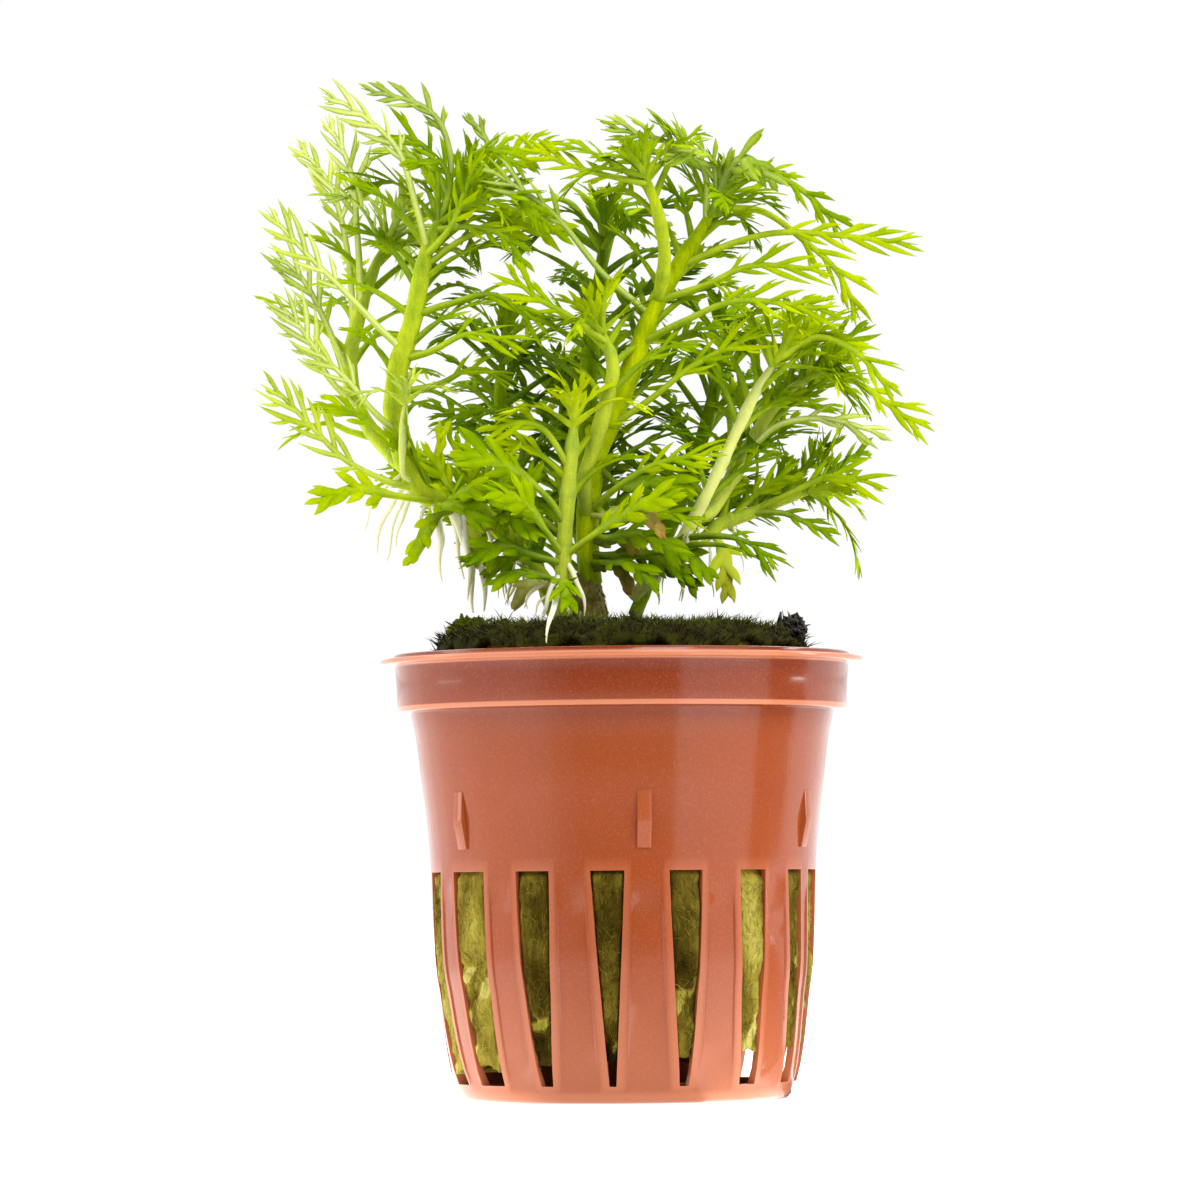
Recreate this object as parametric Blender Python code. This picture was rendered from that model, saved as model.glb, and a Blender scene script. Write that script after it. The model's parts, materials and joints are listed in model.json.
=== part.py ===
"""Potted water violet: a young aquarium plant, its rock-wool plug and its slotted net pot.

The frame has X to the right, Y away from the viewer and Z up, with its origin in the middle of the
pot's base. Lengths are millimetres here and become metres when a mesh is made. A place on the plant
is given as (x, depth, z), where x and z are read on the plane through the pot's middle, as seen from
in front, and depth is the distance behind that plane.
"""

import math
from dataclasses import dataclass

import bmesh
import bpy
import numpy as np
from mathutils.bvhtree import BVHTree

MILLIMETRE = 0.001
GAP = 0.3
UP = np.array((0.0, 0.0, 1.0))
TO_VIEWER = np.array((0.0, -1.0, 0.0))

# Where the places on the plant are seen from: the view is turned a little about its middle.
VIEW_DISTANCE = 707.0
EYE_X = -2.4
EYE_Z = 24.0
VIEW_MIDDLE_Z = 56.7
VIEW_ROLL = math.radians(0.5)

# The pot: (radius, height) up its outer side, over its rim and down its inner side.
POT_WALL = 0.8
FLOOR_THICKNESS = 1.2
SLOT_BOTTOM = 1.9
SLOT_TAPER = 14.0
SLOT_TOP = 25.8
POT_SIDE = (
    (18.3, 0.0),
    (19.2, 0.9),
    (19.55, SLOT_BOTTOM),
    (21.3, SLOT_TAPER),
    (21.9, SLOT_TOP),
    (23.0, 36.8),
    (24.06, 43.6),
)
POT_RIM = (
    (25.5, 44.2),
    (25.86, 49.1),
    (27.4, 49.4),
    (27.5, 50.0),
    (25.95, 50.0),
    (25.85, 50.5),
)
POT_OUTSIDE = (*POT_SIDE, *POT_RIM)
POT_INSIDE = (
    (25.1, 50.5),
    (24.75, 44.6),
    (23.2, 43.2),
    (22.2, 36.8),
    (21.1, SLOT_TOP),
    (20.5, SLOT_TAPER),
    (18.75, SLOT_BOTTOM),
    (18.6, FLOOR_THICKNESS),
)
DRAIN_INNER_RADIUS = 7.0
DRAIN_OUTER_RADIUS = 15.5
DRAIN_HALF_ANGLE = math.radians(3.5)
FIRST_DRAIN_ANGLE = math.radians(-72.5)

# The slots of the front half from left to right, as angles from the front in degrees: the left and
# the right edge at the slot's top, where it starts to narrow, and at its bottom. The mould opens to
# the front and the back, so the back half is the front half turned half round.
SLOT_EDGES = (
    ((-83.0, -70.4), (-83.0, -71.2), (-75.0, -64.5)),
    ((-60.8, -45.7), (-59.5, -45.4), (-55.6, -43.7)),
    ((-33.4, -22.5), (-32.2, -22.9), (-28.8, -24.4)),
    ((-10.0, 0.1), (-7.8, -1.3), (-5.4, -3.1)),
    ((13.25, 23.4), (14.9, 22.7), (17.8, 21.0)),
    ((36.3, 46.2), (37.7, 46.6), (40.4, 47.5)),
    ((57.2, 65.5), (60.0, 67.5), (63.4, 70.5)),
    ((71.8, 84.0), (74.0, 85.0), (77.5, 87.0)),
)
SLOT_COUNT = 2 * len(SLOT_EDGES)

# The catches: small wedges that stand out of the wall above the slots.
CATCH_COUNT = 6
FIRST_CATCH_ANGLE = math.radians(5.8)
CATCH_WIDTH = 1.55
CATCH_TOP = 34.7
CATCH_APEX = 31.3
CATCH_BOTTOM = 28.3
CATCH_DEPTH = 1.0

# The plug and what lies on it.
PLUG_SIDES = 24
PLUG_PROFILE = ((18.5, 5.4), (20.0, 14.0), (20.6, 25.8), (20.8, 51.4), (20.2, 52.1))
MAT_BOTTOM = 52.4
MAT_HEIGHT = 1.7
MAT_RADIUS = 21.3
MAT_SIDES = 30
MAT_RINGS = ((0.97, 0.0), (1.0, 0.45), (0.92, 0.9), (0.5, 1.0))
LUMP_ROUGHNESS = 0.12
ROOTSTOCK_MIDDLE = (-3.2, 1.6, 56.2)
ROOTSTOCK_SIZE = (2.6, 3.4, 1.6)

# The leaves: half the midrib's width and thickness, and the share of the length where the lobes end.
LEAF_HALF_WIDTH = 0.55
LEAF_HALF_THICKNESS = 0.35
LAST_LOBE = 0.90
YOUNG_LOBE = 2.4
STEM_SIDES = 5
GOLDEN_ANGLE = math.radians(137.5)
TURN_STEPS = 12

# How deep a small leaf's stalk reaches into its stem, and a root's radii from its stem to its tip.
STALK_DEPTH = 0.5
ROOT_RADII = (0.3, 0.27, 0.15)
ROOT_SIDES = 3


@dataclass(frozen=True)
class Lump:
    """A lump on the plug, at an angle from the right-hand side, anticlockwise from above."""

    name: str
    angle: float
    radius: float
    size: tuple
    height: float


LUMPS = (
    Lump("black_lump", math.radians(-12.0), 19.7, (2.0, 2.5, 1.2), 53.75),
    Lump("dark_crumbs", math.radians(196.0), 17.9, (3.1, 3.0, 1.45), 54.05),
)


@dataclass(frozen=True)
class Stem:
    """A stem along hand-set points, with its shoot tip of young leaves and its roots."""

    name: str
    points: tuple
    radii: tuple
    young: int
    young_length: float = 9.0
    colour: str = "stem_green"


@dataclass(frozen=True)
class Leaf:
    """A leaf from its stem through hand-set points to its tip.

    at is the share of the stem's length where the leaf grows. facing is 0 where the blade looks
    up and 90 where it looks at the viewer. lobes is the number of pairs.
    """

    name: str
    stem: str
    at: float
    points: tuple
    facing: float = 70.0
    lobes: int = 4
    lobe_length: float = 3.6
    bare: float = 0.42
    colour: str = "leaf_green"


STEMS = (
    Stem("stem_left", ((-7.6, 0.5, 57.0), (-10.6, 0.0, 61.0), (-14.7, -1.0, 65.6), (-19.0, -2.0, 67.4),
                       (-22.6, -2.6, 69.0), (-24.5, -3.0, 72.5), (-25.7, -3.0, 77.0), (-25.6, -3.0, 82.6),
                       (-23.9, -2.6, 88.4), (-22.9, -2.0, 93.5), (-21.6, -1.0, 98.6), (-18.6, 0.0, 102.6)),
         (1.0, 1.35, 0.8), 5, 11.0),
    Stem("stem_left_rear", ((-26.3, 0.4, 73.3), (-28.6, 3.0, 76.2), (-30.5, 5.0, 79.8), (-31.0, 6.0, 84.0),
                            (-30.4, 6.6, 87.4), (-29.3, 7.0, 91.5), (-27.9, 7.0, 95.4), (-26.4, 7.0, 98.4)),
         (0.8, 0.9, 0.6), 5, 11.0),
    Stem("shoot_left", ((-24.9, -5.2, 71.2), (-24.9, -6.2, 75.6), (-24.6, -6.8, 79.8)), (0.5, 0.5, 0.4), 3, 7.0),
    Stem("stem_centre_pale", ((-6.4, -4.6, 55.0), (-6.6, -5.4, 60.0), (-6.3, -6.2, 66.0), (-5.7, -6.8, 72.7),
                              (-5.3, -7.2, 78.0)), (0.9, 0.9, 0.7), 4, 9.0),
    Stem("stem_centre", ((-3.4, 0.5, 58.6), (-3.8, -0.4, 63.0), (-3.7, -0.9, 68.0), (-2.7, -1.0, 73.5),
                         (-0.3, -1.0, 79.1), (2.1, -1.0, 85.7), (4.1, -0.6, 90.8), (6.4, 0.0, 94.6),
                         (8.9, 0.5, 98.6), (11.6, 1.2, 103.4)), (1.2, 1.3, 0.9), 5, 10.0),
    Stem("stem_centre_front", ((-4.2, -3.4, 70.2), (-3.1, -4.2, 74.2), (-1.7, -4.6, 79.1), (-0.9, -4.6, 82.7),
                               (-1.4, -4.4, 85.6), (-2.5, -4.0, 88.4)), (0.8, 0.9, 0.6), 4, 9.0),
    Stem("stem_centre_fork", ((4.9, -2.3, 94.6), (4.9, -3.0, 97.5), (4.1, -3.4, 101.5), (2.6, -3.6, 106.0)),
         (0.75, 0.75, 0.5), 4, 8.0),
    Stem("stem_rear", ((-3.4, 7.4, 55.0), (-3.9, 7.8, 66.0), (-3.8, 8.2, 76.0), (-3.6, 8.4, 84.0),
                       (-2.6, 8.4, 91.5), (-1.9, 8.4, 99.5)), (1.0, 1.1, 0.8), 3, 10.0),
    Stem("stem_rear_left", ((-7.6, 6.2, 55.0), (-10.4, 9.6, 63.0), (-12.8, 12.0, 72.0), (-13.8, 13.0, 79.5),
                            (-13.4, 13.2, 86.0)), (0.8, 0.9, 0.6), 3, 10.0),
    Stem("stem_rear_right", ((1.6, 6.6, 55.0), (5.2, 11.0, 64.0), (8.6, 14.4, 73.0), (10.8, 16.2, 81.0),
                             (11.8, 17.0, 87.0)), (0.8, 0.9, 0.6), 3, 10.0),
    Stem("stem_back", ((-2.8, 11.0, 55.0), (-4.6, 16.0, 64.0), (-6.2, 19.6, 73.0), (-6.8, 21.6, 81.0)),
         (0.8, 0.9, 0.6), 3, 10.0),
    Stem("stem_right", ((1.2, -0.4, 57.0), (3.4, -1.4, 59.2), (6.3, -2.4, 62.6), (9.4, -3.0, 68.0),
                        (11.6, -3.0, 72.5), (13.6, -3.0, 76.8), (15.6, -3.0, 80.8), (18.6, -2.4, 85.2)),
         (0.8, 1.0, 0.8), 4, 9.0, "stem_pale"),
    Stem("stem_right_rear", ((10.4, 0.1, 67.2), (12.4, 1.8, 70.2), (14.6, 2.6, 74.0), (16.8, 3.0, 77.6),
                             (19.4, 3.0, 80.6), (22.2, 3.0, 82.6)), (0.8, 0.95, 0.7), 4, 9.0),
    Stem("stem_right_low", ((9.0, 0.8, 63.4), (11.4, 2.2, 65.4), (15.3, 3.0, 66.8), (18.6, 3.2, 68.2),
                            (22.4, 3.2, 69.3)), (0.7, 0.8, 0.5), 3, 8.0),
)

LEAVES = (
    Leaf("leaf_left_top", "stem_left", 0.88, ((-23.4, -3.8, 101.6), (-25.5, -6.0, 108.2),
                                              (-29.8, -8.4, 112.4), (-34.3, -10.0, 115.0))),
    Leaf("leaf_left_pale_tall", "stem_left_rear", 0.72, ((-30.2, 5.2, 99.0), (-31.0, 4.6, 106.0),
                                                         (-33.9, 4.0, 112.2)), colour="leaf_pale"),
    Leaf("leaf_left_pale", "stem_left_rear", 0.60, ((-31.2, 9.8, 96.0), (-33.2, 11.6, 104.0),
                                                    (-37.2, 13.6, 109.0)), colour="leaf_pale"),
    Leaf("leaf_left_far", "stem_left", 0.66, ((-27.6, -4.4, 87.8), (-31.6, -6.0, 92.0), (-36.0, -6.6, 96.4),
                                              (-40.6, -7.0, 101.4)), colour="leaf_pale"),
    Leaf("leaf_left_upper", "stem_left_rear", 0.42, ((-34.2, 5.2, 89.4), (-36.4, 4.6, 93.4),
                                                     (-39.6, 4.0, 96.6)), bare=0.3),
    Leaf("leaf_left_middle", "stem_left_rear", 0.26, ((-33.6, 3.4, 82.4), (-36.0, 2.0, 87.0),
                                                      (-39.6, 1.0, 91.2)), bare=0.3),
    Leaf("leaf_left_comb", "stem_left", 0.37, ((-27.0, -4.4, 70.4), (-31.6, -5.6, 72.8), (-35.4, -6.6, 76.6),
                                               (-40.6, -7.6, 82.0)), lobes=5, lobe_length=4.2, bare=0.3),
    Leaf("leaf_left_low", "stem_left", 0.32, ((-25.6, -6.0, 68.6), (-30.2, -9.0, 69.4), (-35.4, -11.0, 67.6)),
         facing=50.0, lobes=3),
    Leaf("leaf_left_front", "stem_left", 0.49, ((-28.6, -6.4, 78.6), (-31.4, -8.4, 82.0),
                                                (-35.8, -10.0, 86.0))),
    Leaf("leaf_left_behind", "stem_left_rear", 0.12, ((-31.0, 5.4, 76.0), (-34.0, 8.0, 77.0),
                                                      (-38.0, 10.0, 75.0)), facing=30.0),
    Leaf("leaf_crown_top", "stem_left", 0.97, ((-19.6, 1.2, 108.0), (-22.2, 1.0, 113.0),
                                               (-29.8, 0.4, 115.4)), lobe_length=2.6),
    Leaf("leaf_crown_broad", "stem_left", 0.86, ((-19.4, -5.4, 99.6), (-17.8, -8.6, 103.8),
                                                 (-16.4, -10.6, 108.0)), lobe_length=4.4, bare=0.3),
    Leaf("leaf_crown_right", "stem_left", 0.84, ((-17.4, -2.0, 98.4), (-11.6, -2.2, 100.0),
                                                 (-5.6, -2.4, 98.4)), facing=55.0),
    Leaf("leaf_crown_back", "stem_left", 0.93, ((-19.4, 5.4, 103.0), (-18.0, 11.0, 105.6),
                                                (-16.0, 17.0, 103.0)), facing=0.0),
    Leaf("leaf_inner_upper", "stem_left", 0.735, ((-19.6, -3.6, 90.6), (-14.2, -4.0, 91.6),
                                                  (-8.4, -4.4, 87.6)), facing=50.0),
    Leaf("leaf_inner_middle", "stem_left", 0.64, ((-21.6, -4.6, 85.2), (-17.2, -6.0, 87.2),
                                                  (-11.8, -7.4, 86.0)), facing=60.0),
    Leaf("leaf_inner_low", "stem_left", 0.57, ((-20.8, -1.6, 81.4), (-16.8, -0.6, 83.2),
                                               (-12.0, 0.6, 82.0)), facing=45.0, lobes=3),
    Leaf("leaf_front_upper", "stem_centre_pale", 0.74, ((-8.6, -8.0, 76.0), (-11.4, -8.6, 77.0),
                                                        (-15.4, -9.2, 76.0)), lobe_length=3.0),
    Leaf("leaf_front_middle", "stem_centre_pale", 0.46, ((-8.4, -8.4, 68.4), (-12.4, -11.0, 71.6),
                                                         (-18.6, -13.4, 74.2)), lobe_length=3.4),
    Leaf("leaf_front_low", "stem_centre_pale", 0.30, ((-8.6, -8.6, 64.6), (-11.2, -12.0, 68.0),
                                                      (-15.2, -15.4, 69.4)), lobe_length=3.2, facing=60.0, lobes=3),
    Leaf("leaf_centre_left", "stem_centre_front", 0.88, ((-6.2, -6.8, 89.4), (-9.8, -8.0, 91.4),
                                                         (-13.0, -9.0, 94.4))),
    Leaf("leaf_long_left", "stem_centre", 0.66, ((-2.0, -3.4, 94.0), (-7.2, -4.6, 100.4), (-11.6, -5.2, 103.8),
                                                 (-17.0, -5.8, 107.2)), bare=0.5),
    Leaf("leaf_fork_left", "stem_centre_fork", 0.86, ((-2.6, -3.2, 105.6), (-6.8, -3.0, 106.9),
                                                      (-11.4, -3.0, 109.2)), bare=0.25, lobe_length=3.2),
    Leaf("leaf_right_long", "stem_centre", 0.80, ((12.9, -1.2, 97.6), (18.4, -1.6, 98.8), (25.4, -1.6, 98.4),
                                                  (34.0, -1.6, 97.4)), lobe_length=4.2),
    Leaf("leaf_right_hanging", "stem_centre", 0.96, ((16.2, 4.8, 101.2), (21.0, 7.6, 97.8), (24.8, 10.0, 94.2),
                                                     (27.4, 12.0, 88.6)), lobe_length=4.0),
    Leaf("leaf_right_upper", "stem_centre", 0.70, ((9.8, -3.6, 92.8), (15.2, -5.0, 95.0), (23.6, -6.0, 94.4)),
         lobe_length=4.0),
    Leaf("leaf_right_middle", "stem_centre", 0.59, ((7.2, -5.2, 88.6), (14.0, -9.6, 91.0), (25.2, -14.4, 89.6)),
         lobe_length=3.8),
    Leaf("leaf_right_inner", "stem_centre", 0.38, ((3.8, -4.4, 80.0), (8.4, -6.4, 83.6), (16.4, -8.4, 87.6))),
    Leaf("leaf_top_arching", "stem_centre", 0.93, ((9.4, -1.0, 106.2), (5.2, -1.4, 109.2),
                                                   (-1.8, -1.8, 111.0))),
    Leaf("leaf_right_top", "stem_centre", 0.985, ((15.6, 2.4, 105.8), (20.8, 3.4, 103.6), (25.4, 4.2, 98.8))),
    Leaf("leaf_far_right_low", "stem_right_rear", 0.42, ((18.2, 0.6, 76.8), (23.6, 0.0, 77.4),
                                                         (30.2, -0.8, 75.6)), colour="leaf_pale"),
    Leaf("leaf_far_right", "stem_right_rear", 0.95, ((26.4, 2.6, 81.8), (30.4, 2.2, 79.2), (34.2, 1.8, 76.2))),
    Leaf("leaf_far_right_upper", "stem_right", 0.97, ((22.6, -4.2, 86.8), (27.4, -7.0, 84.6),
                                                      (31.2, -9.8, 80.0))),
    Leaf("leaf_front_right", "stem_centre", 0.17, ((-0.4, -5.0, 69.6), (4.4, -8.0, 72.4), (11.6, -10.6, 73.6)),
         facing=60.0),
    Leaf("leaf_right_low", "stem_right_low", 0.55, ((19.2, 0.8, 68.8), (23.8, -0.8, 70.8),
                                                    (29.4, -1.8, 70.0))),
    Leaf("leaf_right_ground", "stem_right", 0.28, ((11.4, -6.0, 64.0), (14.6, -7.6, 63.2), (18.0, -9.0, 60.6)),
         facing=50.0, lobes=3, lobe_length=3.0),
    Leaf("leaf_yellow", "stem_right_low", 0.12, ((11.6, 0.4, 62.4), (12.0, -0.4, 60.4), (12.1, -0.8, 57.0)),
         facing=90.0, lobes=3, lobe_length=2.6, bare=0.2, colour="leaf_yellow"),
    Leaf("leaf_rear_left", "stem_rear", 0.94, ((-5.6, 10.4, 102.0), (-9.4, 13.2, 102.4), (-13.4, 16.0, 100.6)),
         facing=40.0),
    Leaf("leaf_back_high", "stem_rear", 0.86, ((-0.6, 14.0, 99.6), (1.4, 20.0, 101.4), (3.4, 26.0, 98.0)),
         facing=0.0),
    Leaf("leaf_back_right", "stem_rear_right", 0.8, ((14.6, 20.0, 86.6), (18.4, 23.6, 88.0),
                                                     (23.0, 27.0, 84.4)), facing=20.0),
)

# Small leaves that are one piece with their stem: the same fields as above, without a node of their own.
SMALL_LEAVES = (
    Leaf("crown_hand", "stem_left", 0.94, ((-21.4, -1.4, 107.0), (-24.2, -1.8, 109.7), (-26.6, -2.0, 109.4)),
         lobes=3, lobe_length=2.4, bare=0.4),
    Leaf("crown_spray", "stem_left", 0.98, ((-15.6, 2.6, 106.0), (-15.4, 4.4, 109.4), (-18.0, 5.0, 112.6)),
         lobes=3, lobe_length=2.4, bare=0.4),
    Leaf("dark_low_right", "stem_right", 0.12, ((6.0, -5.0, 60.6), (8.8, -7.0, 57.8)),
         lobes=2, lobe_length=2.0, bare=0.2),
    Leaf("front_palm", "stem_centre_pale", 0.12, ((-5.8, -9.4, 59.6), (-5.2, -12.6, 60.0), (-4.8, -16.0, 58.2)),
         facing=50.0, lobes=3, lobe_length=2.6, bare=0.4),
    Leaf("right_tip_low", "stem_right_low", 0.5, ((18.6, 1.0, 66.6), (21.4, -0.6, 65.4), (24.2, -1.6, 64.0)),
         lobes=3, lobe_length=2.6, bare=0.3),
)

# Roots that hang from the stems: (stem, share of its length, drop in x, depth and z).
ROOTS = (
    ("stem_left", 0.10, (0.4, -1.5, -4.0)),
    ("stem_left", 0.15, (-0.8, -2.0, -8.0)),
    ("stem_left", 0.19, (0.6, 2.0, -10.5)),
    ("stem_left", 0.23, (-0.3, 1.4, -10.2)),
    ("stem_left", 0.26, (-1.4, -1.6, -7.5)),
    ("stem_left", 0.29, (-4.6, -2.0, -4.6)),
    ("stem_left", 0.31, (-5.6, 1.4, -6.6)),
    ("stem_centre_pale", 0.28, (2.6, -2.4, -6.6)),
    ("stem_right", 0.16, (-0.8, -1.6, -4.6)),
    ("stem_right", 0.24, (0.6, 1.8, -6.2)),
    ("stem_right_low", 0.20, (0.9, 1.2, -8.0)),
)


def seen(x, depth, z):
    """Level a place of the front view and carry it along its line of sight to its depth."""
    grow = 1.0 + depth / VIEW_DISTANCE
    across, above = x - EYE_X, z - VIEW_MIDDLE_Z
    level_x = EYE_X + across * math.cos(VIEW_ROLL) + above * math.sin(VIEW_ROLL)
    level_z = VIEW_MIDDLE_Z + above * math.cos(VIEW_ROLL) - across * math.sin(VIEW_ROLL)
    return np.array((EYE_X + (level_x - EYE_X) * grow, depth, EYE_Z + (level_z - EYE_Z) * grow))


def unit(vectors):
    """Scale a vector, or each row of vectors, to length 1."""
    vectors = np.asarray(vectors, float)
    return vectors / np.linalg.norm(vectors, axis=-1, keepdims=True)


def along_curve(points, shares):
    """Points at the given shares of the length of a Catmull-Rom curve through the given points."""
    given = np.array(points, float)
    ends = np.vstack((2 * given[0] - given[1], given, 2 * given[-1] - given[-2]))
    travel = np.linspace(0.0, len(given) - 1 - 1e-9, 16 * len(given))
    start = travel.astype(int)
    part = (travel - start)[:, None]
    a, b, c, d = (ends[start + k] for k in range(4))
    curve = 0.5 * (2 * b + (c - a) * part + (2 * a - 5 * b + 4 * c - d) * part ** 2
                   + (3 * b - a - 3 * c + d) * part ** 3)
    length = np.concatenate(([0.0], np.cumsum(np.linalg.norm(np.diff(curve, axis=0), axis=1))))
    wanted = np.asarray(shares, float) * length[-1]
    return np.stack([np.interp(wanted, length, curve[:, axis]) for axis in range(3)], axis=1)


def material(name, colour, roughness):
    """A plain finish: name, colour as red, green and blue from 0 to 1, and roughness."""
    finish = bpy.data.materials.new(name)
    finish.use_nodes = True
    shader = finish.node_tree.nodes["Principled BSDF"]
    shader.inputs["Base Color"].default_value = (*colour, 1.0)
    shader.inputs["Roughness"].default_value = roughness
    shader.inputs["Metallic"].default_value = 0.0
    return finish


def mesh_from(name, points, faces):
    """A closed mesh in metres from points in millimetres, with its faces turned outwards."""
    mesh = bpy.data.meshes.new(name)
    mesh.from_pydata([tuple(float(value) * MILLIMETRE for value in point) for point in points], [], faces)
    edit = bmesh.new()
    edit.from_mesh(mesh)
    bmesh.ops.triangulate(edit, faces=[face for face in edit.faces if len(face.verts) > 4])
    bmesh.ops.recalc_face_normals(edit, faces=edit.faces)
    edit.to_mesh(mesh)
    edit.free()
    return mesh


def add_object(name, mesh, finish):
    """Put a mesh in the scene as a named piece with its finish."""
    piece = bpy.data.objects.new(name, mesh)
    mesh.materials.clear()
    mesh.materials.append(finish)
    bpy.context.scene.collection.objects.link(piece)
    return piece


def union(name, first, others):
    """One closed mesh from a mesh and the meshes that grow out of it."""
    base = bpy.data.objects.new(name, first)
    bpy.context.scene.collection.objects.link(base)
    helpers = []
    for number, other in enumerate(others):
        helper = bpy.data.objects.new(f"{name}_{number}", other)
        bpy.context.scene.collection.objects.link(helper)
        join = base.modifiers.new(f"join_{number}", "BOOLEAN")
        join.operation = "UNION"
        join.object = helper
        helpers.append(helper)
    scene_now = bpy.context.evaluated_depsgraph_get()
    joined = bpy.data.meshes.new_from_object(base.evaluated_get(scene_now))
    for helper in [base, *helpers]:
        bpy.data.objects.remove(helper)
    return joined


def slot_angles(z):
    """The angles of both edges of each slot at a height, slot after slot round the pot."""
    levels = (SLOT_BOTTOM, SLOT_TAPER, SLOT_TOP)
    edges = [np.interp(z, levels, (bottom[side], middle[side], top[side]))
             for top, middle, bottom in SLOT_EDGES for side in (0, 1)]
    front = np.radians(edges) - math.pi / 2
    return np.concatenate((front, front + math.pi))


def drain_angles():
    """The angles of both edges of each evenly spaced place where the floor may have a drain slot."""
    middles = FIRST_DRAIN_ANGLE - math.pi / 2 + math.tau * np.arange(SLOT_COUNT) / SLOT_COUNT
    return np.stack((middles - DRAIN_HALF_ANGLE, middles + DRAIN_HALF_ANGLE), axis=1).ravel()


def pot_mesh():
    """The net pot: rings up the outside, over the rim and down the inside, with slots left open."""
    base = [(DRAIN_INNER_RADIUS, 0.0), (DRAIN_OUTER_RADIUS, 0.0)]
    floor = [(DRAIN_OUTER_RADIUS, FLOOR_THICKNESS), (DRAIN_INNER_RADIUS, FLOOR_THICKNESS)]
    profile = [*base, *POT_OUTSIDE, *POT_INSIDE, *floor]
    points = []
    for radius, z in profile:
        angles = drain_angles() if radius <= DRAIN_OUTER_RADIUS else slot_angles(z)
        points += [(radius * math.cos(angle), radius * math.sin(angle), z) for angle in angles]
    columns = 2 * SLOT_COUNT
    outer_slot = [len(base) + place for place, (_, z) in enumerate(POT_OUTSIDE) if SLOT_BOTTOM <= z <= SLOT_TOP]
    first_inside = len(base) + len(POT_OUTSIDE)
    inner_slot = [first_inside + place for place, (_, z) in enumerate(POT_INSIDE)
                  if SLOT_BOTTOM <= z <= SLOT_TOP][::-1]
    drain_outer = [0, 1]
    drain_inner = [len(profile) - 1, len(profile) - 2]

    def corner(ring, column):
        return ring * columns + column % columns

    faces = []
    for ring in range(len(profile) - 1):
        for column in range(columns):
            is_slot_column = column % 2 == 0
            in_slot = ring in outer_slot[:-1] or ring + 1 in inner_slot[:-1]
            in_drain = ring == drain_outer[0] or ring == drain_inner[1]
            if is_slot_column and (in_slot or (in_drain and column % 4 == 0)):
                continue
            faces.append((corner(ring, column), corner(ring, column + 1),
                          corner(ring + 1, column + 1), corner(ring + 1, column)))
    for column in range(0, columns, 2):
        openings = [(outer_slot, inner_slot)]
        if column % 4 == 0:
            openings.append((drain_outer, drain_inner))
        for outer, inner in openings:
            for side in (column, column + 1):
                for step in range(len(outer) - 1):
                    faces.append((corner(outer[step], side), corner(outer[step + 1], side),
                                  corner(inner[step + 1], side), corner(inner[step], side)))
            for end in (0, -1):
                faces.append((corner(outer[end], column), corner(outer[end], column + 1),
                              corner(inner[end], column + 1), corner(inner[end], column)))
    under = len(points)
    points += [(0.0, 0.0, 0.0), (0.0, 0.0, FLOOR_THICKNESS)]
    last = len(profile) - 1
    for column in range(columns):
        faces.append((under, corner(0, column), corner(0, column + 1)))
        faces.append((under + 1, corner(last, column), corner(last, column + 1)))
    return mesh_from("net_pot", points, faces)


def wall_radius(z):
    """The pot's outer radius at a height."""
    radii, heights = zip(*POT_SIDE)
    return float(np.interp(z, heights, radii))


def catch_mesh(angle):
    """One wedge on the pot's wall: flush at its top and bottom, proud at its apex."""
    outward = np.array((math.cos(angle), math.sin(angle), 0.0))
    across = np.array((-math.sin(angle), math.cos(angle), 0.0))
    inside = -POT_WALL / 2
    corners = ((CATCH_BOTTOM, inside), (CATCH_BOTTOM, 0.1), (CATCH_APEX, CATCH_DEPTH),
               (CATCH_TOP, 0.3), (CATCH_TOP, inside))
    points = []
    for side in (-CATCH_WIDTH / 2, CATCH_WIDTH / 2):
        points += [outward * (wall_radius(z) + proud) + across * side + UP * z for z, proud in corners]
    count = len(corners)
    faces = [tuple(range(count)), tuple(range(2 * count - 1, count - 1, -1))]
    faces += [(k, (k + 1) % count, count + (k + 1) % count, count + k) for k in range(count)]
    return mesh_from("catch", points, faces)


def net_pot():
    """The pot with its six catches."""
    first = -math.pi / 2 + FIRST_CATCH_ANGLE
    catches = [catch_mesh(first + math.tau * number / CATCH_COUNT) for number in range(CATCH_COUNT)]
    return union("net_pot", pot_mesh(), catches)


def turned_mesh(name, profile, sides):
    """A solid turned about Z from (radius, height) pairs, flat at both ends."""
    angles = math.tau * np.arange(sides) / sides
    points = [(radius * math.cos(angle), radius * math.sin(angle), z) for radius, z in profile for angle in angles]
    faces = [(ring * sides + k, ring * sides + (k + 1) % sides,
              (ring + 1) * sides + (k + 1) % sides, (ring + 1) * sides + k)
             for ring in range(len(profile) - 1) for k in range(sides)]
    last = (len(profile) - 1) * sides
    faces += [tuple(range(sides)), tuple(range(last, last + sides))]
    return mesh_from(name, points, faces)


def mat_radius(angle):
    """The moss mat's uneven edge, which leaves room for each lump."""
    radius = MAT_RADIUS * (0.985 + 0.015 * np.sin(5 * angle + 0.7))
    for lump in LUMPS:
        away = np.abs((angle - lump.angle + math.pi) % math.tau - math.pi)
        reach = (lump.size[1] + 0.8) / lump.radius + math.tau / MAT_SIDES
        notch = lump.radius - lump.size[0] - GAP - 0.3
        radius = np.where(away < reach, np.minimum(radius, notch), radius)
    return radius


def mat_height(x, y):
    """The height of the mat's bumpy top over its flat underside."""
    return MAT_HEIGHT * (0.82 + 0.12 * np.sin(0.55 * x + 1.1) + 0.10 * np.cos(0.7 * y - 0.4 * x))


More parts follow.
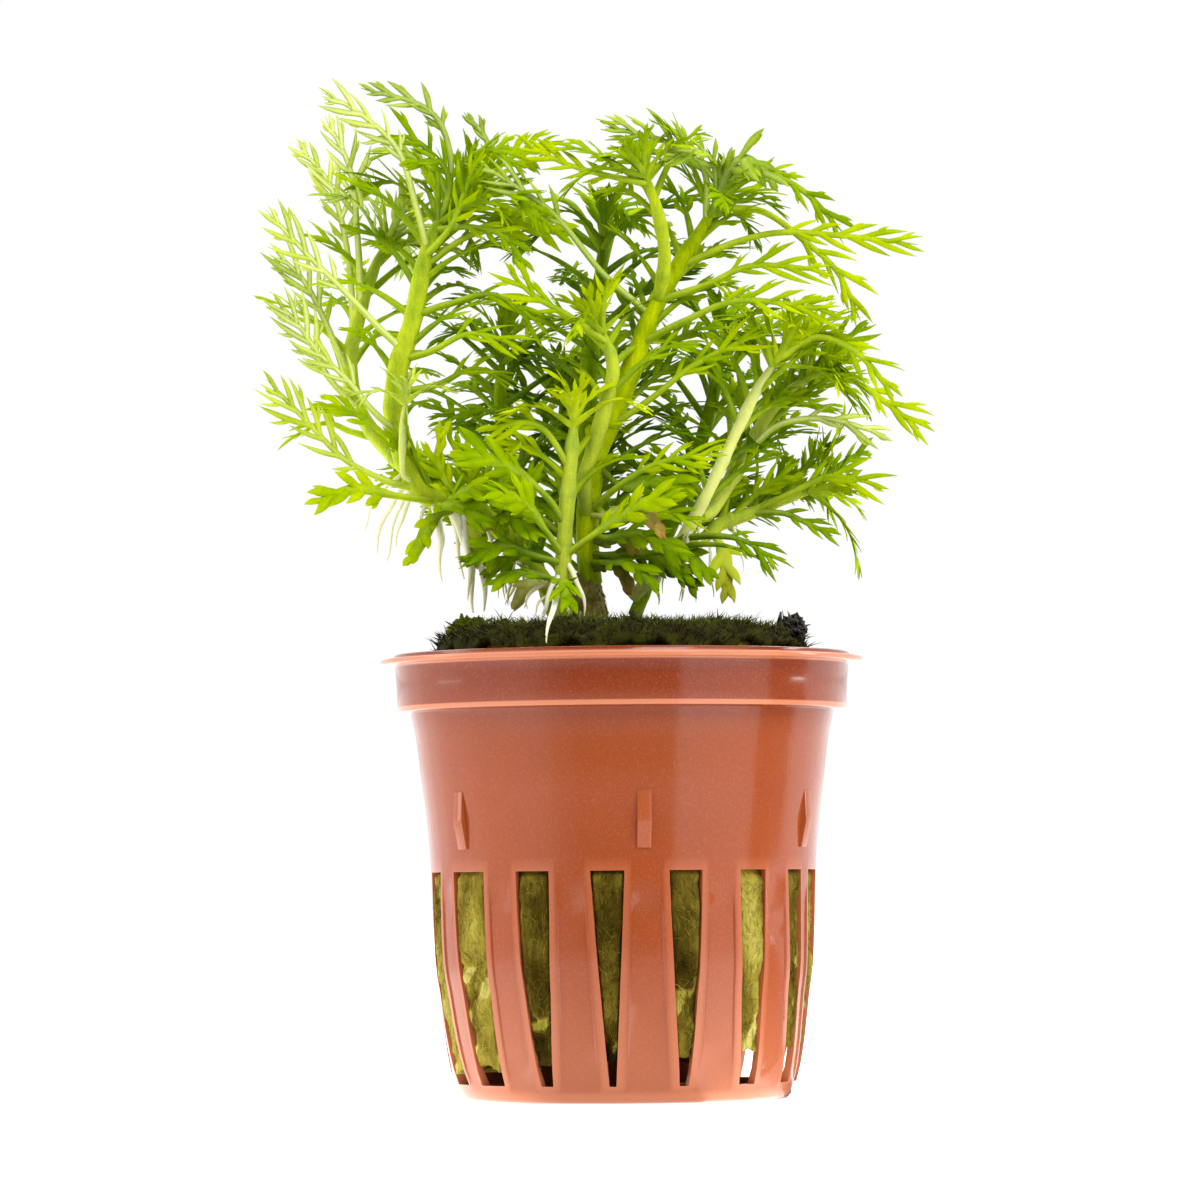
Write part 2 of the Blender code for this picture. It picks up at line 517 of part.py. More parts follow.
def moss_mat():
    """The moss mat: a flat underside and a bumpy, rounded top, notched where the lumps lie."""
    angles = math.tau * np.arange(MAT_SIDES) / MAT_SIDES
    edge = mat_radius(angles)
    points = []
    for share, level in MAT_RINGS:
        for angle, radius in zip(angles, edge * share):
            x, y = radius * math.cos(angle), radius * math.sin(angle)
            points.append((x, y, MAT_BOTTOM + level * mat_height(x, y)))
    rings = len(MAT_RINGS)
    faces = [(ring * MAT_SIDES + k, ring * MAT_SIDES + (k + 1) % MAT_SIDES,
              (ring + 1) * MAT_SIDES + (k + 1) % MAT_SIDES, (ring + 1) * MAT_SIDES + k)
             for ring in range(rings - 1) for k in range(MAT_SIDES)]
    centre = len(points)
    points += [(0.0, 0.0, MAT_BOTTOM), (0.0, 0.0, MAT_BOTTOM + mat_height(0.0, 0.0))]
    top = (rings - 1) * MAT_SIDES
    for k in range(MAT_SIDES):
        faces.append((centre, k, (k + 1) % MAT_SIDES))
        faces.append((centre + 1, top + k, top + (k + 1) % MAT_SIDES))
    return mesh_from("moss_mat", points, faces)


def lump_mesh(name, middle, size):
    """An uneven rounded lump: a subdivided ball whose points are pushed in and out."""
    edit = bmesh.new()
    bmesh.ops.create_icosphere(edit, subdivisions=2, radius=1.0)
    for vert in edit.verts:
        x, y, z = vert.co
        push = 1.0 + LUMP_ROUGHNESS * math.sin(4.1 * x + 2.3 * y + 1.0) * math.cos(3.7 * z - 2.9 * y)
        place = np.array(middle) + np.array((x, y, z)) * push * np.array(size)
        vert.co = place * MILLIMETRE
    mesh = bpy.data.meshes.new(name)
    edit.to_mesh(mesh)
    edit.free()
    return mesh


def tube_mesh(name, path, radii, sides):
    """A tube of changing radius along a path, with flat ends."""
    tangents = unit(np.gradient(path, axis=0))
    side = np.cross(tangents[0], TO_VIEWER if abs(tangents[0] @ TO_VIEWER) < 0.9 else UP)
    points = []
    for place, tangent, radius in zip(path, tangents, radii):
        side = unit(side - tangent * (side @ tangent))
        other = np.cross(tangent, side)
        points += [place + radius * (math.cos(angle) * side + math.sin(angle) * other)
                   for angle in math.tau * np.arange(sides) / sides]
    count = len(path)
    faces = [(ring * sides + k, ring * sides + (k + 1) % sides,
              (ring + 1) * sides + (k + 1) % sides, (ring + 1) * sides + k)
             for ring in range(count - 1) for k in range(sides)]
    last = (count - 1) * sides
    faces += [tuple(range(sides)), tuple(range(last, last + sides))]
    return mesh_from(name, points, faces)


def blade_mesh(name, points, reference, lobes, lobe_length, bare, width=LEAF_HALF_WIDTH,
               thick=LEAF_HALF_THICKNESS, stalk_joint=True):
    """A feather-cut leaf: a flat stalk and midrib with pairs of pointed lobes that lean forward.

    points are the leaf's curve, and reference is the side that its blade faces. stalk_joint
    gives the stalk a point to bend at.
    """
    stalk = [0.0, bare * 0.55] if stalk_joint else [0.0]
    shares = np.concatenate((stalk, np.linspace(bare, LAST_LOBE, lobes + 1), [1.0]))
    path = along_curve(points, shares)
    tangents = unit(np.gradient(path, axis=0))
    sides = unit(np.cross(tangents, reference))
    normals = np.cross(sides, tangents)
    first_lobe = len(stalk)
    stations = len(shares) - 1
    half_width = width * np.interp(shares, (0.0, bare, 1.0), (0.75, 1.0, 0.6))
    half_thick = thick * np.interp(shares, (0.0, bare, 1.0), (1.0, 0.9, 0.5))
    corners = []
    for k in range(stations):
        for sign_side, sign_up in ((-1, 1), (1, 1), (1, -1), (-1, -1)):
            corners.append(path[k] + sign_side * half_width[k] * sides[k] + sign_up * half_thick[k] * normals[k])
    tip = len(corners)
    corners.append(path[-1])
    faces = [(0, 1, 2, 3)]
    lobe_stations = range(first_lobe, first_lobe + lobes)
    for k in range(stations - 1):
        here, after = 4 * k, 4 * (k + 1)
        for corner, following in ((0, 1), (2, 3)):
            faces.append((here + corner, here + following, after + following, after + corner))
        for right, (upper, lower) in ((False, (0, 3)), (True, (1, 2))):
            if k not in lobe_stations:
                faces.append((here + upper, here + lower, after + lower, after + upper))
                continue
            sign = 1 if right else -1
            rank = (k - first_lobe + 0.5) / lobes
            size = lobe_length * (0.62 + 0.38 * math.sin(math.pi * (0.15 + 0.75 * rank)))
            size *= 1.0 if right else 0.88
            middle = path[k + 1] + sign * half_width[k + 1] * sides[k + 1]
            point = middle + size * (0.72 * sign * sides[k + 1] + 0.62 * tangents[k + 1] - 0.1 * normals[k + 1])
            lobe_tip = len(corners)
            corners.append(point)
            faces.append((here + upper, lobe_tip, after + upper))
            faces.append((here + lower, lobe_tip, after + lower))
            faces.append((here + upper, lobe_tip, here + lower))
            faces.append((after + upper, lobe_tip, after + lower))
    last = 4 * (stations - 1)
    faces += [(last + k, last + (k + 1) % 4, tip) for k in range(4)]
    return mesh_from(name, corners, faces)


def stem_path(stem, shares):
    """Points of a stem's middle line at shares of its length."""
    return along_curve([seen(*point) for point in stem.points], shares)


def stem_radius(stem, share):
    """A stem's radius at a share of its length."""
    return float(np.interp(share, (0.0, 0.5, 1.0), stem.radii))


def leaf_points(leaf, stem, clearance):
    """A leaf's curve in space: it starts at the stem's side, clearance off its surface."""
    axis = stem_path(stem, (max(leaf.at - 0.02, 0.0), leaf.at, min(leaf.at + 0.02, 1.0)))
    onwards = [seen(*point) for point in leaf.points]
    tangent = unit(axis[2] - axis[0])
    outward = onwards[0] - axis[1]
    outward = unit(outward - tangent * (outward @ tangent))
    return [axis[1] + outward * (stem_radius(stem, leaf.at) + clearance), *onwards]


def facing_side(leaf):
    """The direction that a leaf's blade faces, between up and the viewer."""
    lean = math.radians(leaf.facing)
    return math.cos(lean) * UP + math.sin(lean) * TO_VIEWER


def surface_tree(mesh):
    """A search tree of a mesh's faces, which tells whether it touches another."""
    return BVHTree.FromPolygons([vert.co for vert in mesh.vertices], [face.vertices for face in mesh.polygons])


def young_leaf(stem, number, turn, growth=0.0):
    """One young leaf of a shoot tip, opening outwards at a turn round the tip.

    The first leaves are the longest and lie the widest open. growth widens the leaf on all
    sides, for finding whether it stays clear of its neighbours.
    """
    path = stem_path(stem, (0.94, 1.0))
    axis = unit(path[1] - path[0])
    right = unit(np.cross(axis, TO_VIEWER))
    front = np.cross(axis, right)
    rank = (number + 0.5) / stem.young
    outward = math.cos(turn) * right + math.sin(turn) * front
    length = stem.young_length * (1.0 - 0.3 * rank) + growth
    open_angle = math.radians(78.0 - 58.0 * rank)
    start = path[1] - axis * 2.4 * (1.0 - rank)
    rise = unit(math.cos(open_angle) * axis + math.sin(open_angle) * outward)
    bend = start + rise * length * 0.55 + axis * 0.06 * length
    point = start + rise * length + outward * 0.15 * length - UP * 0.12 * length
    return blade_mesh(f"young_{number}", (start, bend, point), axis, 2, YOUNG_LOBE + growth, 0.4,
                      LEAF_HALF_WIDTH + growth, LEAF_HALF_THICKNESS + growth, stalk_joint=False)


def young_leaves(stem, neighbours):
    """The young leaves of a shoot tip: a spiral, each turned on until it is clear of the neighbours."""
    meshes = []
    for number in range(stem.young):
        first_turn = number * GOLDEN_ANGLE + len(stem.name)
        for step in range(TURN_STEPS):
            turn = first_turn + math.tau * step / TURN_STEPS
            around = surface_tree(young_leaf(stem, number, turn, GAP))
            if not any(around.overlap(tree) for tree in neighbours):
                meshes.append(young_leaf(stem, number, turn))
                break
    return meshes


def root_mesh(stem, share, drop):
    """A thin root that leaves its stem and sags to its tip."""
    start = stem_path(stem, (share, share))[0]
    drop = np.array(drop)
    points = (start, start + drop * (0.55, 0.4, 0.3), start + drop)
    path = along_curve(points, (0.0, 0.5, 1.0))
    return tube_mesh("root", path, ROOT_RADII, ROOT_SIDES)


def trunk_mesh(stem):
    """A stem alone, without what grows on it."""
    shares = np.linspace(0.0, 1.0, max(4, len(stem.points)))
    radii = [stem_radius(stem, share) for share in shares]
    return tube_mesh(stem.name, stem_path(stem, shares), radii, STEM_SIDES)


def grown_stem(stem, neighbours):
    """A stem with its shoot tip, its small leaves and its roots, all one piece."""
    grown = young_leaves(stem, neighbours)
    for leaf in SMALL_LEAVES:
        if leaf.stem == stem.name:
            points = leaf_points(leaf, stem, -STALK_DEPTH)
            grown.append(blade_mesh(leaf.name, points, facing_side(leaf), leaf.lobes, leaf.lobe_length, leaf.bare))
    for name, share, drop in ROOTS:
        if name == stem.name:
            grown.append(root_mesh(stem, share, drop))
    return union(stem.name, trunk_mesh(stem), grown)


def finishes():
    """The plain finishes of the pot and the plant."""
    return {
        "pot_plastic": material("pot_plastic", (0.52, 0.13, 0.06), 0.35),
        "rock_wool": material("rock_wool", (0.34, 0.30, 0.08), 0.95),
        "moss": material("moss", (0.05, 0.09, 0.02), 0.95),
        "dark_matter": material("dark_matter", (0.03, 0.03, 0.02), 0.9),
        "root_brown": material("root_brown", (0.28, 0.20, 0.07), 0.85),
        "stem_green": material("stem_green", (0.45, 0.55, 0.02), 0.45),
        "stem_pale": material("stem_pale", (0.80, 0.82, 0.40), 0.45),
        "leaf_green": material("leaf_green", (0.28, 0.45, 0.02), 0.45),
        "leaf_pale": material("leaf_pale", (0.58, 0.70, 0.28), 0.45),
        "leaf_yellow": material("leaf_yellow", (0.70, 0.60, 0.08), 0.55),
    }


def main():
    """Build every piece of the potted plant."""
    for old in list(bpy.data.objects):
        bpy.data.objects.remove(old)
    finish = finishes()
    stems = {stem.name: stem for stem in STEMS}
    add_object("net_pot", net_pot(), finish["pot_plastic"])
    add_object("rockwool_plug", turned_mesh("rockwool_plug", PLUG_PROFILE, PLUG_SIDES), finish["rock_wool"])
    add_object("moss_mat", moss_mat(), finish["moss"])
    for lump in LUMPS:
        middle = (lump.radius * math.cos(lump.angle), lump.radius * math.sin(lump.angle), lump.height)
        add_object(lump.name, lump_mesh(lump.name, middle, lump.size), finish["dark_matter"])
    add_object("rootstock", lump_mesh("rootstock", ROOTSTOCK_MIDDLE, ROOTSTOCK_SIZE), finish["root_brown"])
    trees = {stem.name: surface_tree(trunk_mesh(stem)) for stem in STEMS}
    for leaf in LEAVES:
        points = leaf_points(leaf, stems[leaf.stem], GAP + LEAF_HALF_THICKNESS)
        blade = blade_mesh(leaf.name, points, facing_side(leaf), leaf.lobes, leaf.lobe_length, leaf.bare)
        trees[leaf.name] = surface_tree(blade)
        add_object(leaf.name, blade, finish[leaf.colour])
    for stem in STEMS:
        neighbours = [tree for name, tree in trees.items() if name != stem.name]
        grown = grown_stem(stem, neighbours)
        trees[stem.name] = surface_tree(grown)
        add_object(stem.name, grown, finish[stem.colour])


main()
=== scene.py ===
"""Looks of a potted water violet: feather-cut leaves, stems, roots, moss, rock wool and a slotted net pot.

Lengths are millimetres while a shape is worked out, and become metres when its mesh is made. The frame
has X to the right, Y away from the viewer and Z up, with its origin in the middle of the pot's base. A
place on the plant is given as (x, depth, z): x and z are read on the plane through the pot's middle, as
seen from in front, and depth is the distance behind that plane.
"""

from __future__ import annotations

import json
import logging
import math
from collections.abc import Iterable, Sequence
from dataclasses import dataclass
from enum import Enum

import bmesh
import bpy
import numpy as np
from mathutils import Matrix

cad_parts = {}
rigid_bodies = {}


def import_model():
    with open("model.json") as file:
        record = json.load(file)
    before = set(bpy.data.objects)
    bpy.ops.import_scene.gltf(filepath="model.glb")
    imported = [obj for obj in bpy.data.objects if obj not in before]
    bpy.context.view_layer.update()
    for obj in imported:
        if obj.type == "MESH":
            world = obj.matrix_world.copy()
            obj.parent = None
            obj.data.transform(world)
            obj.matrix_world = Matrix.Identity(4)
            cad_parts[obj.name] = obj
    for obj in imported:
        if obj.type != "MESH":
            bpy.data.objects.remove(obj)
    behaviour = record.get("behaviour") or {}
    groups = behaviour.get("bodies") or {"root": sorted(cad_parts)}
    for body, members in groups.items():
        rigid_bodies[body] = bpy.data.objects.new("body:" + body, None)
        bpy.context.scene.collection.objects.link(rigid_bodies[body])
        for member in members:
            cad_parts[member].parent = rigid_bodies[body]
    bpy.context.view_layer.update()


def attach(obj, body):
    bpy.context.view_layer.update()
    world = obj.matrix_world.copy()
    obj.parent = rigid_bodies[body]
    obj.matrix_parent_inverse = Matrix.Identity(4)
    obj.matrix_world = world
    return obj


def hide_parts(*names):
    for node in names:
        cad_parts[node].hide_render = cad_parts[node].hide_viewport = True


log = logging.getLogger("water_violet")

Array = np.ndarray
Place = tuple[float, float, float]
Colour = tuple[float, float, float]
Stops = tuple[tuple[float, Colour], ...]

MILLIMETRE = 0.001
UP = np.array((0.0, 0.0, 1.0))
TO_VIEWER = np.array((0.0, -1.0, 0.0))
GOLDEN_ANGLE = math.radians(137.5)
LEAF_START = 0.35
LARGE_LOBES, SMALL_LOBES = 1.3, 1.2
LEAF_VALUES = ("tone", "pale", "rib", "dry", "streak")
BODY = "root"


@dataclass(frozen=True)
class View:
    """Where the plant is seen from, and how the places read there become places in space."""

    distance: float = 707.0
    eye_x: float = -2.4
    eye_z: float = 24.0
    middle_z: float = 56.7
    roll: float = math.radians(0.5)
    field_of_view: float = math.radians(11.05)

    def place(self, x: float, depth: float, z: float) -> Array:
        """Level a place of the front view and carry it along its line of sight to its depth.

        Args:
            x: Distance to the right of the pot's axis, as read.
            depth: Distance behind the plane through the pot's middle.
            z: Height above the pot's base, as read.

        Returns:
            The place in space: the read place turned back by the view's roll, then moved away from
            the eye by 1 + depth / distance.
        """
        grow = 1.0 + depth / self.distance
        across, above = x - self.eye_x, z - self.middle_z
        level_x = across * math.cos(self.roll) + above * math.sin(self.roll)
        level_z = self.middle_z - self.eye_z + above * math.cos(self.roll) - across * math.sin(self.roll)
        return np.array((self.eye_x + level_x * grow, depth, self.eye_z + level_z * grow))

    def places(self, points: Iterable[Place]) -> Array:
        """Carry several places into space."""
        return np.array([self.place(*point) for point in points])


VIEW = View()


def unit(vectors: Array) -> Array:
    """Vectors at length 1, each for itself."""
    return vectors / np.maximum(np.linalg.norm(vectors, axis=-1, keepdims=True), 1e-12)


def smooth_curve(points: Array, shares: Array) -> Array:
    """Points of a Catmull-Rom curve at shares of its length.

    Each stretch between two given points is a cubic whose slope at a given point is half the step
    from the point before it to the point after it. The curve is then measured and read at even steps.

    Args:
        points: The given points, one a row.
        shares: Shares of the whole length, from 0 to 1.

    Returns:
        One point for each share.
    """
    given = np.asarray(points, float)
    ends = np.vstack((2 * given[0] - given[1], given, 2 * given[-1] - given[-2]))
    travel = np.linspace(0.0, len(given) - 1 - 1e-9, 24 * len(given))
    start = travel.astype(int)
    part = (travel - start)[:, None]
    a, b, c, d = (ends[start + k] for k in range(4))
    curve = 0.5 * (2 * b + (c - a) * part + (2 * a - 5 * b + 4 * c - d) * part**2
                   + (3 * b - a - 3 * c + d) * part**3)
    length = np.concatenate(([0.0], np.cumsum(np.linalg.norm(np.diff(curve, axis=0), axis=1))))
    wanted = np.asarray(shares, float) * length[-1]
    return np.stack([np.interp(wanted, length, curve[:, axis]) for axis in range(curve.shape[1])], axis=1)


def path_length(places: Array) -> float:
    """Length of a path of places, one a row."""
    return float(np.linalg.norm(np.diff(places, axis=0), axis=1).sum())


def waves(points: Array, size: float, seed: int, count: int = 14) -> Array:
    """Smooth unevenness at points in space, from about -1 to 1.

    It is a sum of sine waves in random directions whose lengths lie around size, over the root of
    half their number.

    Args:
        points: Places, with x, y and z along the last axis.
        size: The usual length of a wave.
        seed: Which set of waves.
        count: Number of waves.

    Returns:
        One value for each place.
    """
    chance = np.random.default_rng(seed)
    direction = unit(chance.normal(size=(count, 3)))
    pitch = math.tau / (size * chance.uniform(0.6, 1.6, count))
    shift = chance.uniform(0.0, math.tau, count)
    phase = np.asarray(points) @ (direction * pitch[:, None]).T + shift
    return np.sin(phase).sum(axis=-1) / math.sqrt(count / 2) * 0.6


def round_axis(radius: Array | float, angle: Array, height: Array | float) -> Array:
    """Places round the upright axis: radius times the angle's cosine and sine, and the height."""
    parts = (radius * np.cos(angle), radius * np.sin(angle), height)
    return np.stack(np.broadcast_arrays(*parts), axis=-1)


def full_turn(count: int) -> Array:
    """Evenly spaced angles of a full turn."""
    return math.tau * np.arange(count) / count


def ball(rows: int, around: int, gap: float) -> Array:
    """Rings of points on a ball of radius 1, from a gap beside its top to a gap beside its bottom.

    Args:
        rows: Number of rings.
        around: Points on each ring.
        gap: Angle between a pole and the ring next to it.

    Returns:
        Places at polar angle p: round_axis at radius sin p and height cos p.
    """
    polar = np.linspace(gap, math.pi - gap, rows)[:, None]
    return round_axis(np.sin(polar), full_turn(around), np.cos(polar))


@dataclass
class Track:
    """Paths with their directions: along the path, across it and out of its face.

    Each array ends in x, y and z. The axis before is the place along a path, and any axis before
    that counts paths.
    """

    places: Array
    along: Array
    across: Array
    out: Array

    @classmethod
    def over(cls, places: Array, facing: Array) -> Track:
        """Paths over given places, whose faces look as nearly as they can in a direction.

        Args:
            places: Places along each path, as (rows, 3) or (tubes, rows, 3).
            facing: The direction that the faces look in, one for all or one for each path.

        Returns:
            The paths: across is along x facing, and out is across x along, each at length 1.
        """
        along = unit(np.gradient(places, axis=-2))
        across = unit(np.cross(along, facing))
        return cls(places, along, across, np.cross(across, along))

    @classmethod
    def through(cls, points: Array, facing: Array, rows: int) -> Track:
        """A smooth path through points, with a number of rows and facing a direction."""
        return cls.over(smooth_curve(points, np.linspace(0.0, 1.0, rows)), facing)

    def at(self, shares: Array) -> Track:
        """The path's places and directions at shares of its rows.

        Args:
            shares: Shares from 0 to 1.

        Returns:
            A path with a row for each share.
        """
        rows = np.linspace(0.0, 1.0, len(self.places))
        parts = [np.stack([np.interp(shares, rows, part[:, axis]) for axis in range(3)], axis=-1)
                 for part in (self.places, self.along, self.across, self.out)]
        return Track(parts[0], *(unit(part) for part in parts[1:]))


class Skin:
    """A mesh gathered from closed tubes, each with a finish and with named values at its points."""

    def __init__(self, values: Sequence[str]) -> None:
        """Start an empty mesh.

        Args:
            values: Names of the values that its points carry.
        """
        self.names = tuple(values)
        self.points: list[Array] = []
        self.corners: list[Array] = []
        self.sides: list[Array] = []
        self.finishes: list[Array] = []
        self.values: dict[str, list[Array]] = {name: [] for name in values}
        self.count = 0

    def add_rings(self, rings: Array, start: Array | None = None, tip: Array | None = None, finish: int = 0,
                  **values: Array | float) -> None:
        """Add closed tubes given by their rings of points.

        Quads join each ring to the next, and a fan of triangles closes each end. A tube whose quads
        would enclose a negative volume has its rings turned round, so its faces look outwards.

        Args:
            rings: Points, as (tubes, rows, points around, 3).
            start: Middle of each tube's first end, or nothing for the mean of its first ring.
            tip: Middle of each tube's last end, likewise.
            finish: Number of the material.
            values: A number, or an array that fits (tubes, rows, points around), for each named value.
        """
        start = rings[:, 0].mean(axis=1) if start is None else start
        tip = rings[:, -1].mean(axis=1) if tip is None else tip
        tubes, rows, around, _ = rings.shape
        after = np.roll(rings, -1, axis=2)
        middle = rings.mean(axis=(1, 2), keepdims=True)
        low, high = rings[:, :-1] - middle, rings[:, 1:] - middle
        low_after, high_after = after[:, :-1] - middle, after[:, 1:] - middle
        enclosed = np.einsum("trki,trki->t", low, np.cross(low_after, high_after) + np.cross(high_after, high))
        turned = enclosed < 0
        rings = np.where(turned[:, None, None, None], rings[:, :, ::-1], rings)
        index = self.count + np.arange(tubes * rows * around).reshape(tubes, rows, around)
        beside = np.roll(index, -1, axis=2)
        quads = np.stack((index[:, :-1], beside[:, :-1], beside[:, 1:], index[:, 1:]), axis=-1).reshape(-1, 4)
        ends = self.count + tubes * rows * around + np.arange(2 * tubes).reshape(2, tubes, 1)
        ends = np.broadcast_to(ends, (2, tubes, around))
        first_fan = np.stack((ends[0], beside[:, 0], index[:, 0]), axis=-1).reshape(-1, 3)
        last_fan = np.stack((ends[1], index[:, -1], beside[:, -1]), axis=-1).reshape(-1, 3)
        self.points += [rings.reshape(-1, 3), start.reshape(-1, 3), tip.reshape(-1, 3)]
        self.add_faces(quads, finish)
        self.add_faces(np.concatenate((first_fan, last_fan)), finish)
        for name in self.names:
            value = np.broadcast_to(np.asarray(values.get(name, 0.0), float), (tubes, rows, around))
            value = np.where(turned[:, None, None], value[:, :, ::-1], value)
            self.values[name] += [value.ravel(), value[:, 0].mean(axis=1), value[:, -1].mean(axis=1)]
        self.count += tubes * rows * around + 2 * tubes

    def add_faces(self, faces: Array, finish: int) -> None:
        """Add faces that all have the same number of corners.

        Args:
            faces: Numbers of their points, one face a row.
            finish: Number of the material.
        """
        self.corners.append(faces.ravel())
        self.sides.append(np.full(len(faces), faces.shape[1]))
        self.finishes.append(np.full(len(faces), finish))

    def add_strip(self, track: Track, width: Array | float, thick: Array | float, around: int, finish: int = 0,
                  fold: Array | float = 0.0, square: float = 1.0, **values: Array | float) -> None:
        """Add flattened tubes along paths, with a lens for their cross-section.

        With c for cos a, its size raised to the power of square, a ring's point at angle a lies
        width * c across the path, and thick * sin a plus fold * width * |c| out of its face. So a
        fold lifts both edges, and a square under 1 makes the faces flatter.

        Args:
            track: Paths, as (tubes, rows, 3) or (rows, 3).
            width: Half widths, one for each row.
            thick: Half thicknesses, one for each row.
            around: Points around.
            finish: Number of the material.
            fold: How steeply the edges rise, for each row.
            square: Power of the cross-section's cosine.
            values: As for add_rings. "rib" is worked out here: 1 at the middle line and 0 at the edges.
        """
        parts = (track.places, track.across, track.out)
        places, across, out = (part.reshape(-1, *part.shape[-2:]) for part in parts)
        sizes = (width, thick, fold)
        width, thick, fold = (np.broadcast_to(size, places.shape[:2])[..., None, None] for size in sizes)
        angles = full_turn(around)
        cos, sin = np.cos(angles)[:, None], np.sin(angles)[:, None]
        cos = np.sign(cos) * np.abs(np.round(cos, 6)) ** square
        rise = thick * sin + fold * width * np.abs(cos)
        rings = places[:, :, None] + width * cos * across[:, :, None] + rise * out[:, :, None]
        if "rib" in self.names and "rib" not in values:
            values["rib"] = 1.0 - np.abs(cos[:, 0])
        self.add_rings(rings, None, places[:, -1], finish, **values)

    def build(self, name: str, finishes: Sequence[bpy.types.Material], sharp: float = 180.0) -> bpy.types.Object:
        """Make the mesh object in metres.

        Args:
            name: The object's name.
            finishes: Materials, in the order of their numbers.
            sharp: The angle in degrees past which an edge is shaded sharp.

        Returns:
            The object, at the origin, shaded smooth.
        """
        points = np.concatenate(self.points) * MILLIMETRE
        sides = np.concatenate(self.sides)
        corners = np.concatenate(self.corners)
        mesh = bpy.data.meshes.new(name)
        mesh.vertices.add(len(points))
        mesh.vertices.foreach_set("co", points.astype(np.float32).ravel())
        mesh.loops.add(len(corners))
        mesh.loops.foreach_set("vertex_index", corners.astype(np.int32))
        mesh.polygons.add(len(sides))
        mesh.polygons.foreach_set("loop_start", np.concatenate(([0], np.cumsum(sides)[:-1])).astype(np.int32))
        mesh.polygons.foreach_set("material_index", np.concatenate(self.finishes).astype(np.int32))
        mesh.update(calc_edges=True)
        for value in self.names:
            layer = mesh.attributes.new(value, "FLOAT", "POINT")
            layer.data.foreach_set("value", np.concatenate(self.values[value]).astype(np.float32))
        mesh.shade_smooth()
        if sharp < 180.0:
            mesh.set_sharp_from_angle(angle=math.radians(sharp))
        for finish in finishes:
            mesh.materials.append(finish)
        return placed(name, mesh)


def placed(name: str, data: bpy.types.ID) -> bpy.types.Object:
    """Put an object with a mesh, lamp or camera into the scene.

    Args:
        name: The object's name.
        data: What it shows.

    Returns:
        The object.
    """
    thing = bpy.data.objects.new(name, data)
    bpy.context.scene.collection.objects.link(thing)
    return thing


def settle(piece: bpy.types.Object, slot: str, *nodes: str) -> None:
    """Let a finished piece ride on the body and stand for its nodes.

    Args:
        piece: The piece.
        slot: Not used.
        nodes: The plain nodes that it replaces, if any.
    """
    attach(piece, BODY)
    if nodes:
        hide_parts(*nodes)
    log.info("%s: %d faces", piece.name, len(piece.data.polygons))


class Signal:
    """A shader value that takes part in sums: each operator adds a Math node."""

    def __init__(self, graph: Graph, socket: bpy.types.NodeSocket) -> None:
        """Wrap an output socket of a graph."""
        self.graph = graph
        self.socket = socket

    def _maths(self, operation: str, *values: Signal | float, clamp: bool = False) -> Signal:
        """Add a Math node.

        Args:
            operation: What it does.
            values: The signals or numbers that it takes.
            clamp: Whether the result is kept between 0 and 1.

        Returns:
            The result.
        """
        made = self.graph.node("ShaderNodeMath", {"operation": operation, "use_clamp": clamp},
                               dict(enumerate(values)))
        return Signal(self.graph, made.outputs[0])

    def __add__(self, other: Signal | float) -> Signal:
        """Sum."""
        return self._maths("ADD", self, other)

    __radd__ = __add__

    def __sub__(self, other: Signal | float) -> Signal:
        """Difference."""
        return self._maths("SUBTRACT", self, other)

    def __rsub__(self, other: float) -> Signal:
        """Difference from a number."""
        return self._maths("SUBTRACT", other, self)

    def __mul__(self, other: Signal | float) -> Signal:
        """Product."""
        return self._maths("MULTIPLY", self, other)

    __rmul__ = __mul__

    def __pow__(self, other: float) -> Signal:
        """Power."""
        return self._maths("POWER", self, other)

    def clamped(self) -> Signal:
        """The value, kept between 0 and 1."""
        return self._maths("ADD", self, 0.0, clamp=True)

    def between(self, low: float, high: float) -> Signal:
        """Step smoothly from 0 to 1.

        Args:
            low: The value that gives 0.
            high: The value that gives 1. It may be the smaller.

        Returns:
            The step.
        """
        made = self.graph.node("ShaderNodeMapRange", {"interpolation_type": "SMOOTHSTEP"},
                               {"Value": self, "From Min": low, "From Max": high})
        return Signal(self.graph, made.outputs["Result"])


